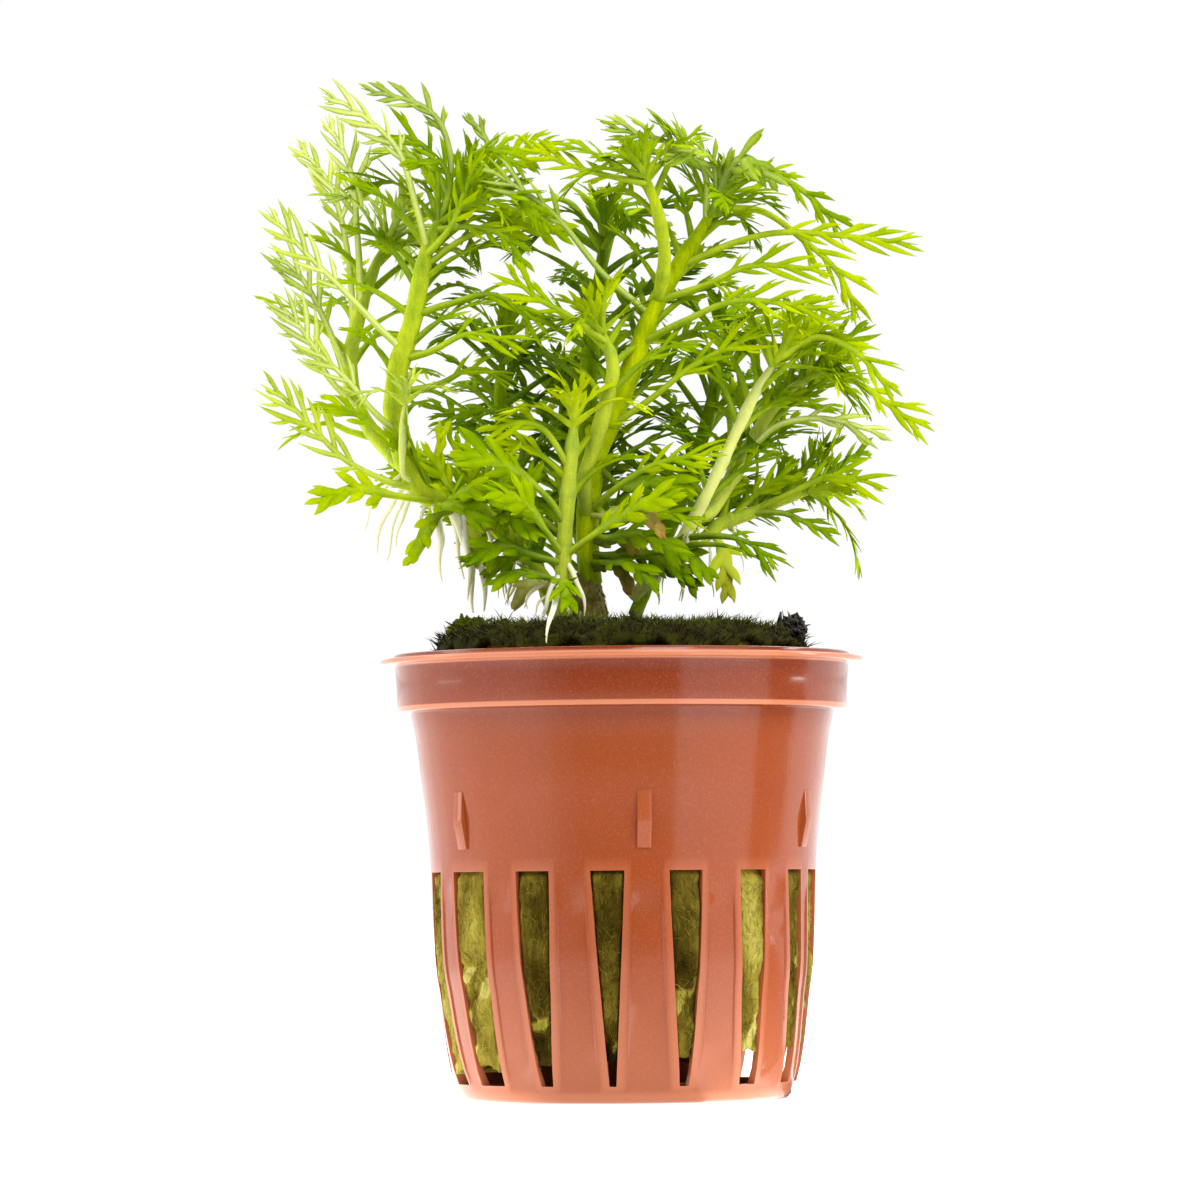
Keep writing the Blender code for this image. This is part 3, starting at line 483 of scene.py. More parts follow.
class Graph:
    """A material's or a world's nodes. Named values feed its Principled shader, where it has one."""

    def __init__(self, name: str, world: bpy.types.World | None = None) -> None:
        """Start a material, or take a world.

        Args:
            name: The material's name.
            world: The world.
        """
        self.material = world or bpy.data.materials.new(name)
        self.material.use_nodes = True
        self.tree = self.material.node_tree
        self.shader = self.tree.nodes.get("Principled BSDF")

    def node(self, kind: str, settings: dict | None = None, sockets: dict | None = None) -> bpy.types.Node:
        """Add a node.

        Args:
            kind: The node's type.
            settings: Its properties, set first. "stops" gives a colour ramp's (place, colour) pairs.
            sockets: Values or links of its inputs, by name or number.

        Returns:
            The node.
        """
        made = self.tree.nodes.new(kind)
        for key, value in (settings or {}).items():
            if key == "stops":
                self._set_stops(made.color_ramp, value)
            else:
                setattr(made, key, value)
        for key, value in (sockets or {}).items():
            self.feed(made.inputs[key], value)
        return made

    @staticmethod
    def _set_stops(ramp: bpy.types.ColorRamp, stops: Stops) -> None:
        """Give a colour ramp its stops.

        Args:
            ramp: The ramp.
            stops: Its (place, colour) pairs.
        """
        while len(ramp.elements) < len(stops):
            ramp.elements.new(1.0)
        for element, (place, colour) in zip(ramp.elements, stops):
            element.position = place
            element.color = (*colour, 1.0)

    def feed(self, socket: bpy.types.NodeSocket, value: object) -> None:
        """Link a value to a socket, or set the socket.

        Args:
            socket: An input socket.
            value: A signal or an output socket to link, or a number, vector or colour to set.
        """
        if isinstance(value, Signal):
            self.tree.links.new(value.socket, socket)
        elif isinstance(value, bpy.types.NodeSocket):
            self.tree.links.new(value, socket)
        elif socket.type == "RGBA":
            socket.default_value = (*value, 1.0)
        else:
            socket.default_value = value

    def set(self, **values: object) -> None:
        """Feed the Principled shader's sockets.

        Args:
            values: What each gets, by its name in lower case with underscores.
        """
        for key, value in values.items():
            name = key.replace("_", " ").title().replace("Ior", "IOR")
            self.feed(self.shader.inputs[name], value)

    def attribute(self, name: str) -> Signal:
        """A value carried by the mesh's points."""
        return Signal(self, self.node("ShaderNodeAttribute", {"attribute_name": name}).outputs["Fac"])

    def place(self, stretch: Place = (1.0, 1.0, 1.0)) -> bpy.types.NodeSocket:
        """Object coordinates.

        Args:
            stretch: Scale along each axis.

        Returns:
            The vector's socket.
        """
        where = self.node("ShaderNodeTexCoord").outputs["Object"]
        return self.node("ShaderNodeMapping", {"vector_type": "POINT"},
                         {"Vector": where, "Scale": stretch}).outputs["Vector"]

    def parts(self, vector: bpy.types.NodeSocket) -> tuple[Signal, ...]:
        """The x, y and z of a vector."""
        split = self.node("ShaderNodeSeparateXYZ", None, {"Vector": vector})
        return tuple(Signal(self, split.outputs[axis]) for axis in "XYZ")

    def noise(self, size: float, detail: float = 3.0, rough: float = 0.55, stretch: Place = (1.0, 1.0, 1.0),
              warp: float = 0.0) -> Signal:
        """Noise from 0 to 1.

        Args:
            size: About how wide its lumps are, in millimetres.
            detail: Number of finer layers.
            rough: How strong the finer layers are.
            stretch: Scale along each axis; under 1 draws the lumps out.
            warp: How far the lumps are bent.

        Returns:
            The noise.
        """
        made = self.node("ShaderNodeTexNoise", None,
                         {"Vector": self.place(stretch), "Scale": 1.0 / (size * MILLIMETRE), "Detail": detail,
                          "Roughness": rough, "Distortion": warp})
        return Signal(self, made.outputs["Fac"])

    def mix(self, factor: Signal | float, first: object, second: object) -> bpy.types.NodeSocket:
        """A colour between two.

        Args:
            factor: 0 for the first and 1 for the second.
            first: The first colour.
            second: The second colour.

        Returns:
            The colour's socket.
        """
        made = self.node("ShaderNodeMix", {"data_type": "RGBA"})
        self.feed(made.inputs["Factor"], factor)
        colours = [socket for socket in made.inputs if socket.type == "RGBA"]
        self.feed(colours[0], first)
        self.feed(colours[1], second)
        return next(socket for socket in made.outputs if socket.type == "RGBA")

    def ramp(self, value: Signal, stops: Stops) -> bpy.types.NodeSocket:
        """A colour read from a ramp."""
        return self.node("ShaderNodeValToRGB", {"stops": stops}, {"Fac": value}).outputs["Color"]

    def bump(self, height: Signal, strength: float, distance: float) -> bpy.types.NodeSocket:
        """A normal bumped by a height, distance in millimetres."""
        return self.node("ShaderNodeBump", None, {"Height": height, "Strength": strength,
                                                  "Distance": distance * MILLIMETRE}).outputs["Normal"]


@dataclass(frozen=True)
class LeafFinish:
    """Thin, moist leaf: patchy green, paler along its midribs, with painted sheen on some leaves, and brown where it
    is dry.
    """

    name: str = "leaf_finish"
    shade: Colour = (0.045, 0.110, 0.0005)
    middle: Colour = (0.21, 0.33, 0.001)
    bright: Colour = (0.47, 0.57, 0.002)
    # Whitish green of pale leaves, and painted sheen on the sheen-tinted ones.
    pale: Colour = (0.80, 0.85, 0.32)
    brown: Colour = (0.34, 0.19, 0.04)
    roughness: float = 0.5

    def build(self) -> bpy.types.Material:
        """Make the material. It reads the values tone, pale, rib and dry; pale is the leaf's own whitish green, and
        painted sheen on the sheen-tinted leaves.

        Returns:
            The material.
        """
        graph = Graph(self.name)
        patches = graph.noise(2.6, 2.0)
        grain = graph.noise(0.35, 3.0, 0.6)
        rib = graph.attribute("rib")
        tone = graph.attribute("tone") + (patches - 0.5) * 0.7 + (grain - 0.5) * 0.25 + rib * 0.12 - 0.01
        tone = tone.clamped()
        green = graph.ramp(tone, ((0.0, self.shade), (0.5, self.middle), (1.0, self.bright)))
        # Whitish along the midribs: the leaf's own pale colour, and painted sheen on the sheen-tinted leaves.
        pale = (graph.attribute("pale") * (rib + (grain - 0.5) * 0.5 + 0.12)).clamped()
        colour = graph.mix(pale, green, self.pale)
        dry = (graph.attribute("dry") + (patches - 0.5) * graph.attribute("dry") * 1.2).clamped()
        colour = graph.mix(dry, colour, self.brown)
        graph.set(base_color=colour, roughness=self.roughness + (grain - 0.5) * 0.16, ior=1.02,
                  normal=graph.bump(grain, 0.35, 0.05))
        return graph.material


@dataclass(frozen=True)
class StemFinish:
    """Juicy stem: yellow-green with a long pale painted highlight down one side, and darker where it is shaded."""

    name: str = "stem_finish"
    shade: Colour = (0.10, 0.17, 0.0005)
    middle: Colour = (0.24, 0.36, 0.0005)
    bright: Colour = (0.54, 0.62, 0.001)
    pale: Colour = (0.88, 0.89, 0.40)
    roughness: float = 0.42

    def build(self) -> bpy.types.Material:
        """Make the material. It reads the values tone, pale and the painted highlight streak.

        Returns:
            The material.
        """
        graph = Graph(self.name)
        patches = graph.noise(3.0, 2.0)
        grain = graph.noise(0.4, 4.0, 0.65, (1.0, 1.0, 0.18))
        dots = graph.noise(0.16, 2.0, 0.6)
        tone = (graph.attribute("tone") + (patches - 0.5) * 0.5 + (grain - 0.5) * 0.7 + (dots - 0.5) * 0.6
                - 0.05).clamped()
        green = graph.ramp(tone, ((0.0, self.shade), (0.5, self.middle), (1.0, self.bright)))
        # Painted highlight: a pale streak down one side of the stem.
        pale = (graph.attribute("pale") + graph.attribute("streak") * (0.35 + grain * 0.4)).clamped()
        graph.set(base_color=graph.mix(pale, green, self.pale), roughness=self.roughness + (grain - 0.5) * 0.2,
                  ior=1.08, subsurface_weight=0.25, subsurface_scale=0.9 * MILLIMETRE,
                  subsurface_radius=(0.9, 1.0, 0.1), normal=graph.bump(grain + dots, 0.6, 0.10))
        return graph.material


@dataclass(frozen=True)
class RootFinish:
    """White, slightly glassy root with a cream tinge."""

    name: str = "root_finish"
    colour: Colour = (0.86, 0.84, 0.62)
    old: Colour = (0.55, 0.46, 0.20)

    def build(self) -> bpy.types.Material:
        """Make the material. It reads the value dry.

        Returns:
            The material.
        """
        graph = Graph(self.name)
        grain = graph.noise(0.6, 3.0, 0.6, (1.0, 1.0, 0.3))
        old = (graph.attribute("dry") * (0.5 + grain)).clamped()
        graph.set(base_color=graph.mix(old, self.colour, self.old), roughness=0.38 + (grain - 0.5) * 0.2, ior=1.4,
                  subsurface_weight=0.5, subsurface_scale=0.5 * MILLIMETRE, subsurface_radius=(1.0, 0.9, 0.5),
                  normal=graph.bump(grain, 0.3, 0.05))
        return graph.material


@dataclass(frozen=True)
class PotFinish:
    """Moulded terracotta-brown plastic: grained, glossy and scratched, with painted highlights at its lips and slot
    edges, painted light from the floor towards its foot and painted shade on its collar.
    """

    name: str = "pot_finish"
    body: Colour = (0.275, 0.050, 0.009)
    warm: Colour = (0.29, 0.050, 0.007)
    # Painted shade of the collar under the flange.
    painted_collar_shade: Colour = (0.20, 0.026, 0.002)
    # Pale colour of the speckles, and of the painted highlights and the painted floor light.
    lip: Colour = (0.72, 0.26, 0.13)
    scratch: Colour = (0.80, 0.42, 0.28)

    def build(self) -> bpy.types.Material:
        """Make the material. It reads the value edge, which places a painted highlight: 1 at a slot's edge and 0 away
        from it.

        Returns:
            The material.
        """
        graph = Graph(self.name)
        speckle = graph.noise(0.22, 2.0, 0.7)
        cloud = graph.noise(9.0, 3.0)
        scuff = graph.noise(1.4, 4.0, 0.6, (1.0, 1.0, 0.10), 0.4).between(0.66, 0.74)
        cuts = [graph.noise(5.0, 0.0, 0.5, stretch, 0.9) for stretch in ((1.0, 1.0, 0.35), (0.5, 0.5, 1.6))]
        scratches = [(1.0 - cut.between(0.4975, 0.5000) - cut.between(0.5025, 0.5000)).clamped() for cut in cuts]
        height = graph.parts(graph.place())[2]
        # Painted highlights: a pale line at the lower lip of the rim band and on the flange's edge.
        painted_band_highlight = height.between(0.04400, 0.04410) * height.between(0.0447, 0.0445)
        painted_flange_highlight = height.between(0.0490, 0.0493) * height.between(0.0502, 0.0499)
        # Painted light from the white floor: paler towards the foot.
        foot = height.between(0.018, 0.001) * 0.25 + height.between(0.0016, 0.0006) * 0.3
        # The value edge places a painted highlight along the slots' edges.
        edge = graph.attribute("edge")
        # The painted highlights and the painted floor light, mixed into the pale colour below.
        lip = ((painted_band_highlight + painted_flange_highlight) * 0.7 + foot + edge * 0.25).clamped()
        # Warmer in clouds, and near the slots' edges as part of the painted highlight.
        colour = graph.mix((cloud.between(0.35, 0.7) + edge * 0.4).clamped(), self.body, self.warm)
        # Painted shade: darker from just under the rim band upwards, for the collar under the flange.
        colour = graph.mix(height.between(0.040, 0.047) * 0.8, colour, self.painted_collar_shade)
        colour = graph.mix((speckle - 0.5).clamped() * 0.6, colour, self.lip)
        colour = graph.mix(lip, colour, self.lip)
        marks = scratches[0] * cloud.between(0.5, 0.6) + scratches[1] * cloud.between(0.5, 0.42)
        marks = (marks * 0.5).clamped()
        colour = graph.mix(marks, colour, self.scratch)
        graph.set(base_color=colour, roughness=0.13 + (cloud - 0.5) * 0.06 + scuff * 0.12, ior=1.43,
                  subsurface_weight=0.10, subsurface_scale=0.6 * MILLIMETRE, subsurface_radius=(1.0, 0.35, 0.15),
                  normal=graph.bump(speckle + scuff * 0.5 - marks * 2.0, 0.12, 0.02))
        return graph.material


@dataclass(frozen=True)
class WoolFinish:
    """Rock wool stained yellow-green and olive, darker in its folds."""

    name: str = "wool_finish"
    stops: Stops = (
        (0.0, (0.014, 0.010, 0.001)), (0.3, (0.070, 0.046, 0.004)), (0.55, (0.19, 0.14, 0.016)),
        (0.8, (0.36, 0.30, 0.040)), (1.0, (0.50, 0.43, 0.11)))

    def build(self) -> bpy.types.Material:
        """Make the material. It reads the value tone.

        Returns:
            The material.
        """
        graph = Graph(self.name)
        lumps = graph.noise(3.2, 3.0, 0.6, (1.0, 1.0, 0.7), 0.5)
        fibre = graph.noise(0.35, 4.0, 0.7, (1.0, 1.0, 0.25), 0.8)
        tone = (graph.attribute("tone") + (lumps - 0.5) * 0.6 + (fibre - 0.5) * 0.5).clamped()
        graph.set(base_color=graph.ramp(tone, self.stops), roughness=0.9, ior=1.1,
                  normal=graph.bump(fibre, 0.9, 0.3))
        return graph.material


@dataclass(frozen=True)
class MossFinish:
    """Dark green moss with lighter, drier hair tips."""

    name: str = "moss_finish"
    deep: Colour = (0.012, 0.008, 0.001)
    green: Colour = (0.12, 0.145, 0.006)
    hair: Colour = (0.40, 0.42, 0.26)

    def build(self) -> bpy.types.Material:
        """Make the material. It reads the values tone and pale.

        Returns:
            The material.
        """
        graph = Graph(self.name)
        lumps = graph.noise(1.8, 4.0, 0.65)
        tone = (graph.attribute("tone") + (lumps - 0.5) * 0.7).clamped()
        colour = graph.mix(graph.attribute("pale").clamped(), graph.mix(tone, self.deep, self.green), self.hair)
        graph.set(base_color=colour, roughness=0.85, ior=1.15,
                  normal=graph.bump(lumps, 0.7, 0.3))
        return graph.material


@dataclass(frozen=True)
class DarkFinish:
    """Nearly black, wet matter with grey crumbs."""

    name: str = "dark_finish"
    black: Colour = (0.010, 0.009, 0.004)
    grey: Colour = (0.11, 0.11, 0.05)

    def build(self) -> bpy.types.Material:
        """Make the material.

        Returns:
            The material.
        """
        graph = Graph(self.name)
        crumbs = graph.noise(0.7, 5.0, 0.7)
        colour = graph.mix(crumbs.between(0.52, 0.72) * 0.6, self.black, self.grey)
        graph.set(base_color=colour, roughness=0.38 + (crumbs - 0.5) * 0.5, ior=1.45,
                  normal=graph.bump(crumbs, 0.8, 0.25))
        return graph.material


@dataclass(frozen=True)
class BarkFinish:
    """Fibrous yellow-brown root stock and dead matter."""

    name: str = "bark_finish"
    stops: Stops = (
        (0.0, (0.020, 0.013, 0.002)), (0.4, (0.11, 0.080, 0.010)), (0.75, (0.34, 0.28, 0.05)),
        (1.0, (0.62, 0.54, 0.18)))

    def build(self) -> bpy.types.Material:
        """Make the material. It reads the value tone.

        Returns:
            The material.
        """
        graph = Graph(self.name)
        fibre = graph.noise(0.5, 4.0, 0.7, (1.0, 1.0, 0.25))
        tone = (graph.attribute("tone") + (fibre - 0.5) * 0.7).clamped()
        graph.set(base_color=graph.ramp(tone, self.stops), roughness=0.7, ior=1.35,
                  subsurface_weight=0.15, subsurface_scale=0.4 * MILLIMETRE, normal=graph.bump(fibre, 0.8, 0.2))
        return graph.material


@dataclass(frozen=True)
class LeafForm:
    """How a leaf is cut. spacing lies between pairs of lobes; widths are half widths."""

    spacing: float
    lobe_width: float
    rib_width: float
    opening: float
    bend: float
    teeth: int


class Form(Enum):
    """The leaf forms that the plant has."""

    COMB = LeafForm(2.3, 0.33, 0.36, math.radians(40), math.radians(18), 1)
    FEATHER = LeafForm(3.0, 0.35, 0.40, math.radians(34), math.radians(14), 1)
    BROAD = LeafForm(2.2, 0.58, 0.85, math.radians(50), math.radians(22), 2)
    YOUNG = LeafForm(1.5, 0.36, 0.38, math.radians(46), math.radians(22), 0)
    BUSHY = LeafForm(2.0, 0.36, 0.40, math.radians(46), math.radians(24), 2)


@dataclass(frozen=True)
class Detail:
    """How finely a leaf is meshed: rows along its midrib and its lobes, and points around each."""

    rib_rows: int
    rib_around: int
    lobe_rows: int
    lobe_around: int


FINE = Detail(28, 8, 9, 8)
PLAIN = Detail(14, 6, 6, 4)


@dataclass(frozen=True)
class Tint:
    """A leaf's colour: tone from dark 0 to bright 1, pale from green 0 to whitish 1, dry to brown 1."""

    tone: float = 0.6
    pale: float = 0.0
    dry: float = 0.0


@dataclass(frozen=True)
class Cut:
    """How one leaf is cut, coloured and meshed: bare is the share of its length that is stalk."""

    form: LeafForm
    lobe_length: float
    bare: float
    tint: Tint
    finish: int = 0
    detail: Detail = PLAIN


class Foliage:
    """Cuts leaves and adds them to a skin. Chance gives each lobe its own small differences."""

    TOOTH_ROWS = 4
    LAST_LOBE = 0.95

    def __init__(self, skin: Skin, seed: int) -> None:
        """Take the skin to add to, and a seed for the small differences."""
        self.skin = skin
        self.chance = np.random.default_rng(seed)

    def add_leaf(self, points: Array, facing: Array, cut: Cut) -> None:
        """Add one leaf: its stalk and midrib, its pairs of lobes and their teeth.

        Args:
            points: The leaf's curve, from inside its stem to its tip.
            facing: The direction that its blade looks in.
            cut: How it is cut, coloured and meshed.
        """
        form, bare, tint = cut.form, cut.bare, cut.tint
        track = Track.through(points, facing, cut.detail.rib_rows)
        shares = np.linspace(0.0, 1.0, cut.detail.rib_rows)
        width = form.rib_width * np.interp(shares, (0.0, bare * 0.8, bare + 0.12, 0.88, 1.0),
                                           (0.42 / form.rib_width, 0.36 / form.rib_width, 1.0, 0.75, 0.04))
        thick = np.interp(shares, (0.0, bare, bare + 0.15, 1.0), (0.44, 0.3, 0.15, 0.06))
        tone = tint.tone - 0.02 + 0.12 * (1.0 - shares) * (shares < bare)
        dry = tint.dry * np.interp(shares, (0.5, 1.0), (0.2, 1.0))
        self.skin.add_strip(track, width, thick, cut.detail.rib_around, cut.finish, square=0.7, tone=tone[:, None],
                            pale=tint.pale + 0.12 * (1.0 - shares[:, None]), dry=dry[:, None])
        pairs = max(2, round(path_length(track.places) * (self.LAST_LOBE - bare) / form.spacing))
        self._add_lobes(track, pairs, cut)

    def _add_lobes(self, track: Track, pairs: int, cut: Cut) -> None:
        """Add a leaf's lobes, two for each pair, and the teeth on them.

        A lobe leaves the midrib at the form's opening angle and turns towards the leaf's tip as it
        goes. It is longest near the blade's middle. Its half width is a strap that swells a little at
        its middle and closes to a point, with a small flare at its foot.

        Args:
            track: The midrib.
            pairs: Number of pairs of lobes.
            cut: How the leaf is cut, coloured and meshed.
        """
        form, bare, tint, rows = cut.form, cut.bare, cut.tint, cut.detail.lobe_rows
        count = 2 * pairs
        side = np.tile((-1.0, 1.0), pairs)
        place = np.repeat(np.arange(pairs), 2) + 0.5 + 0.18 * side
        rank = (place + self.chance.uniform(-0.10, 0.10, count)) / pairs
        foot = track.at(bare + (self.LAST_LOBE - bare) * rank)
        size = cut.lobe_length * (0.55 + 0.47 * np.sin(math.pi * (0.10 + 0.70 * rank)))
        size = size * self.chance.uniform(0.76, 1.22, count) * np.interp(rank, (0.7, 1.0), (1.0, 0.5))
        opening = form.opening * (1.0 - 0.5 * rank**2) * self.chance.uniform(0.86, 1.14, count)
        run = np.linspace(0.0, 1.0, rows)
        angle = opening[:, None] - form.bend * run
        step = size[:, None] / (rows - 1)
        sideways = np.cumsum(np.sin(angle) * step, axis=1) - np.sin(angle[:, :1]) * step
        forward = np.cumsum(np.cos(angle) * step, axis=1) - np.cos(angle[:, :1]) * step
        lift = self.chance.uniform(-0.06, 0.22, count)[:, None] * size[:, None] * run
        sag = self.chance.uniform(0.0, 0.26, count)[:, None] * size[:, None] * run**2
        sign = side[:, None, None]
        across, along, out = (part[:, None] for part in (foot.across, foot.along, foot.out))
        places = (foot.places[:, None] + sign * across * sideways[..., None] + along * forward[..., None]
                  + out * (lift - sag)[..., None])
        direction = unit(np.gradient(places, axis=1))
        flat = unit(sign * across * np.cos(angle)[..., None] - along * np.sin(angle)[..., None])
        flat = unit(flat - direction * (flat * direction).sum(axis=-1, keepdims=True))
        face = np.cross(direction, flat) * -sign
        twist = (self.chance.uniform(-0.9, 0.9, count)[:, None] * run)[..., None]
        lobes = Track(places, direction, np.cos(twist) * flat + np.sin(twist) * face,
                      np.cos(twist) * face - np.sin(twist) * flat)
        lens = (0.72 + 0.36 * np.sin(math.pi * run**1.1)) * (1.0 - run**3.2) ** 0.75
        width = form.lobe_width * (lens + 0.35 * np.exp(-run / 0.08)) * (size / cut.lobe_length)[:, None] ** 0.4
        width[:, -1] = 0.02
        thick = 0.11 * np.interp(run, (0.0, 0.3, 1.0), (1.2, 1.0, 0.3))
        tone = tint.tone + self.chance.uniform(-0.13, 0.13, count)[:, None, None] + 0.16 * run[:, None] ** 2
        pale = tint.pale * self.chance.uniform(0.5, 1.5, count)[:, None, None] * (1.0 - 0.3 * run[:, None])
        dry = tint.dry * np.interp(rank, (0.3, 1.0), (0.2, 1.0))[:, None, None] * (0.6 + 0.6 * run[:, None])
        values = {"tone": tone, "pale": pale, "dry": dry}
        self.skin.add_strip(lobes, width, thick, cut.detail.lobe_around, cut.finish, 0.12 * run, 0.6, **values)
        for tooth in range(form.teeth):
            self._add_teeth(lobes, size, tooth, cut, values)

    def _add_teeth(self, lobes: Track, size: Array, tooth: int, cut: Cut, values: dict[str, Array]) -> None:
        """Add one tooth to most of the longer lobes, bent away from the lobe's edge towards its tip.

        Args:
            lobes: The lobes' middle lines.
            size: The lobes' lengths.
            tooth: 0 for a tooth on the outer edge and 1 for one on the inner edge, further along.
            cut: How the leaf is cut, coloured and meshed.
            values: The lobes' tone, pale and dry values.
        """
        row = round((0.38 + 0.16 * tooth) * (cut.detail.lobe_rows - 1))
        chosen = (size > 2.2) & (self.chance.random(len(size)) < 0.6)
        if not chosen.any():
            return
        run = np.linspace(0.0, 1.0, self.TOOTH_ROWS)
        start, along = lobes.places[chosen, row][:, None], lobes.along[chosen, row][:, None]
        edge = 1.0 if tooth % 2 == 0 else -1.0
        across, out = edge * lobes.across[chosen, row][:, None], lobes.out[chosen, row][:, None]
        angle = (self.chance.uniform(0.5, 0.8, chosen.sum())[:, None] - 0.35 * run)[..., None]
        reach = (size[chosen] * self.chance.uniform(0.28, 0.48, chosen.sum()))[:, None, None] * run[:, None]
        places = start + reach * (np.cos(angle) * along + np.sin(angle) * across) - out * 0.12 * reach
        teeth = Track(places, unit(np.gradient(places, axis=1)), np.cos(angle) * across - np.sin(angle) * along,
                      np.broadcast_to(out, places.shape))
        width = cut.form.lobe_width * 0.85 * (1.0 - run**2.5)
        width[-1] = 0.02
        thick = 0.09 * (1.0 - 0.7 * run)
        at_tips = {name: value[chosen, -1:] for name, value in values.items()}
        self.skin.add_strip(teeth, width, thick, cut.detail.lobe_around, cut.finish, square=0.6, **at_tips)


@dataclass(frozen=True)
class Leaf:
    """A leaf from its stem through given places to its tip.

    at is the share of the stem's length where it grows. facing is 0 where the blade looks up and
    90 where it looks at the viewer.
    """

    stem: str
    at: float
    points: tuple[Place, ...]
    form: Form = Form.COMB
    tint: Tint = Tint()
    facing: float = 70.0
    lobe_length: float = 3.6
    bare: float = 0.42

    def side(self) -> Array:
        """The direction that the blade faces, between up and the viewer."""
        lean = math.radians(self.facing)
        return math.cos(lean) * UP + math.sin(lean) * TO_VIEWER

    def cut(self, scale: float, finish: int = 0) -> Cut:
        """How the leaf is cut, with its lobes longer by a scale and a material's number."""
        return Cut(self.form.value, self.lobe_length * scale, self.bare, self.tint, finish, FINE)


@dataclass(frozen=True)
class Spray:
    """Leaves that grow in a spiral along a stretch of stem, from one share of its length to another."""

    first: float
    last: float
    count: int
    length: float
    tint: Tint = Tint(0.35)
    form: Form = Form.BUSHY
    lobe_length: float = 3.8


@dataclass(frozen=True)
class Stem:
    """A stem along given places, with a crown of young leaves, sprays of leaves and its colour.

    join is a place inside the stem that it branches from, where its own tube starts.
    """

    name: str
    points: tuple[Place, ...]
    radii: tuple[float, float, float]
    crown: int = 9
    crown_length: float = 9.0
    crown_tint: Tint = Tint(0.55)
    tone: float = 0.75
    pale: float = 0.05
    # Strength of the painted highlight down the stem.
    streak: float = 0.5
    sprays: tuple[Spray, ...] = ()
    slot: str = "stem_green"
    join: Place | None = None

    def curve(self, shares: Array) -> Array:
        """Points of the middle line at shares of its length."""
        return smooth_curve(VIEW.places(self.points), shares)

    def radius(self, shares: Array) -> Array:
        """Radii at shares of the length."""
        return np.interp(shares, (0.0, 0.5, 1.0), self.radii)

    def leaf_curve(self, leaf: Leaf) -> Array:
        """Points of a leaf's curve in space.

        Args:
            leaf: A leaf that grows from this stem.

        Returns:
            A first point inside the stem, a share of its radius from its middle, and the leaf's own.
        """
        start, axis = self.near(leaf.at)
        onwards = VIEW.places(leaf.points)
        outward = onwards[0] - start
        outward = unit(outward - axis * (outward @ axis))
        return np.vstack((start + outward * self.radius(leaf.at) * LEAF_START, onwards))

    def near(self, share: float) -> tuple[Array, Array]:
        """The place at a share of its length, and its direction there."""
        before, place, after = self.curve(np.clip((share - 0.02, share, share + 0.02), 0.0, 1.0))
        return place, unit(after - before)

    def outwards(self, share: float, turn: float) -> tuple[Array, Array, Array]:
        """Directions for what grows from the stem.

        Args:
            share: The share of its length.
            turn: Angle round it, from its right side towards its back.

        Returns:
            The place there, the stem's direction and the outward direction at the turn.
        """
        place, axis = self.near(share)
        right = unit(np.cross(axis, TO_VIEWER))
        return place, axis, math.cos(turn) * right + math.sin(turn) * np.cross(axis, right)


@dataclass(frozen=True)
class Root:
    """A root that hangs from a stem: its share of the stem's length, its drop in space and its radius."""

    stem: str
    at: float
    drop: Place
    radius: float = 0.26
    dry: float = 0.1


COMB, FEATHER, BROAD, YOUNG, BUSHY = Form

BRIGHT = Tint(0.70)
FRESH = Tint(0.58)
MIDDLE = Tint(0.45)
DARK = Tint(0.22)
PALE = Tint(0.62, 0.6)
PALER = Tint(0.66, 0.75)
# Painted sheen: whitish green standing in for white light mirrored by the top leaves.
PAINTED_SHEEN = Tint(0.38, 0.28)
DEAD = Tint(0.6, 0.5, 1.0)
YELLOW = Tint(1.0, 0.1, 0.5)


def on_stems(kind: type, groups: tuple) -> tuple:
    """Leaves or roots made from rows of values, which are grouped by the stem that they grow from."""
    return tuple(kind(stem, *values) for stem, rows in groups for values in rows)


REAR_SPRAY = Spray(0.16, 0.98, 26, 17.5, DARK)

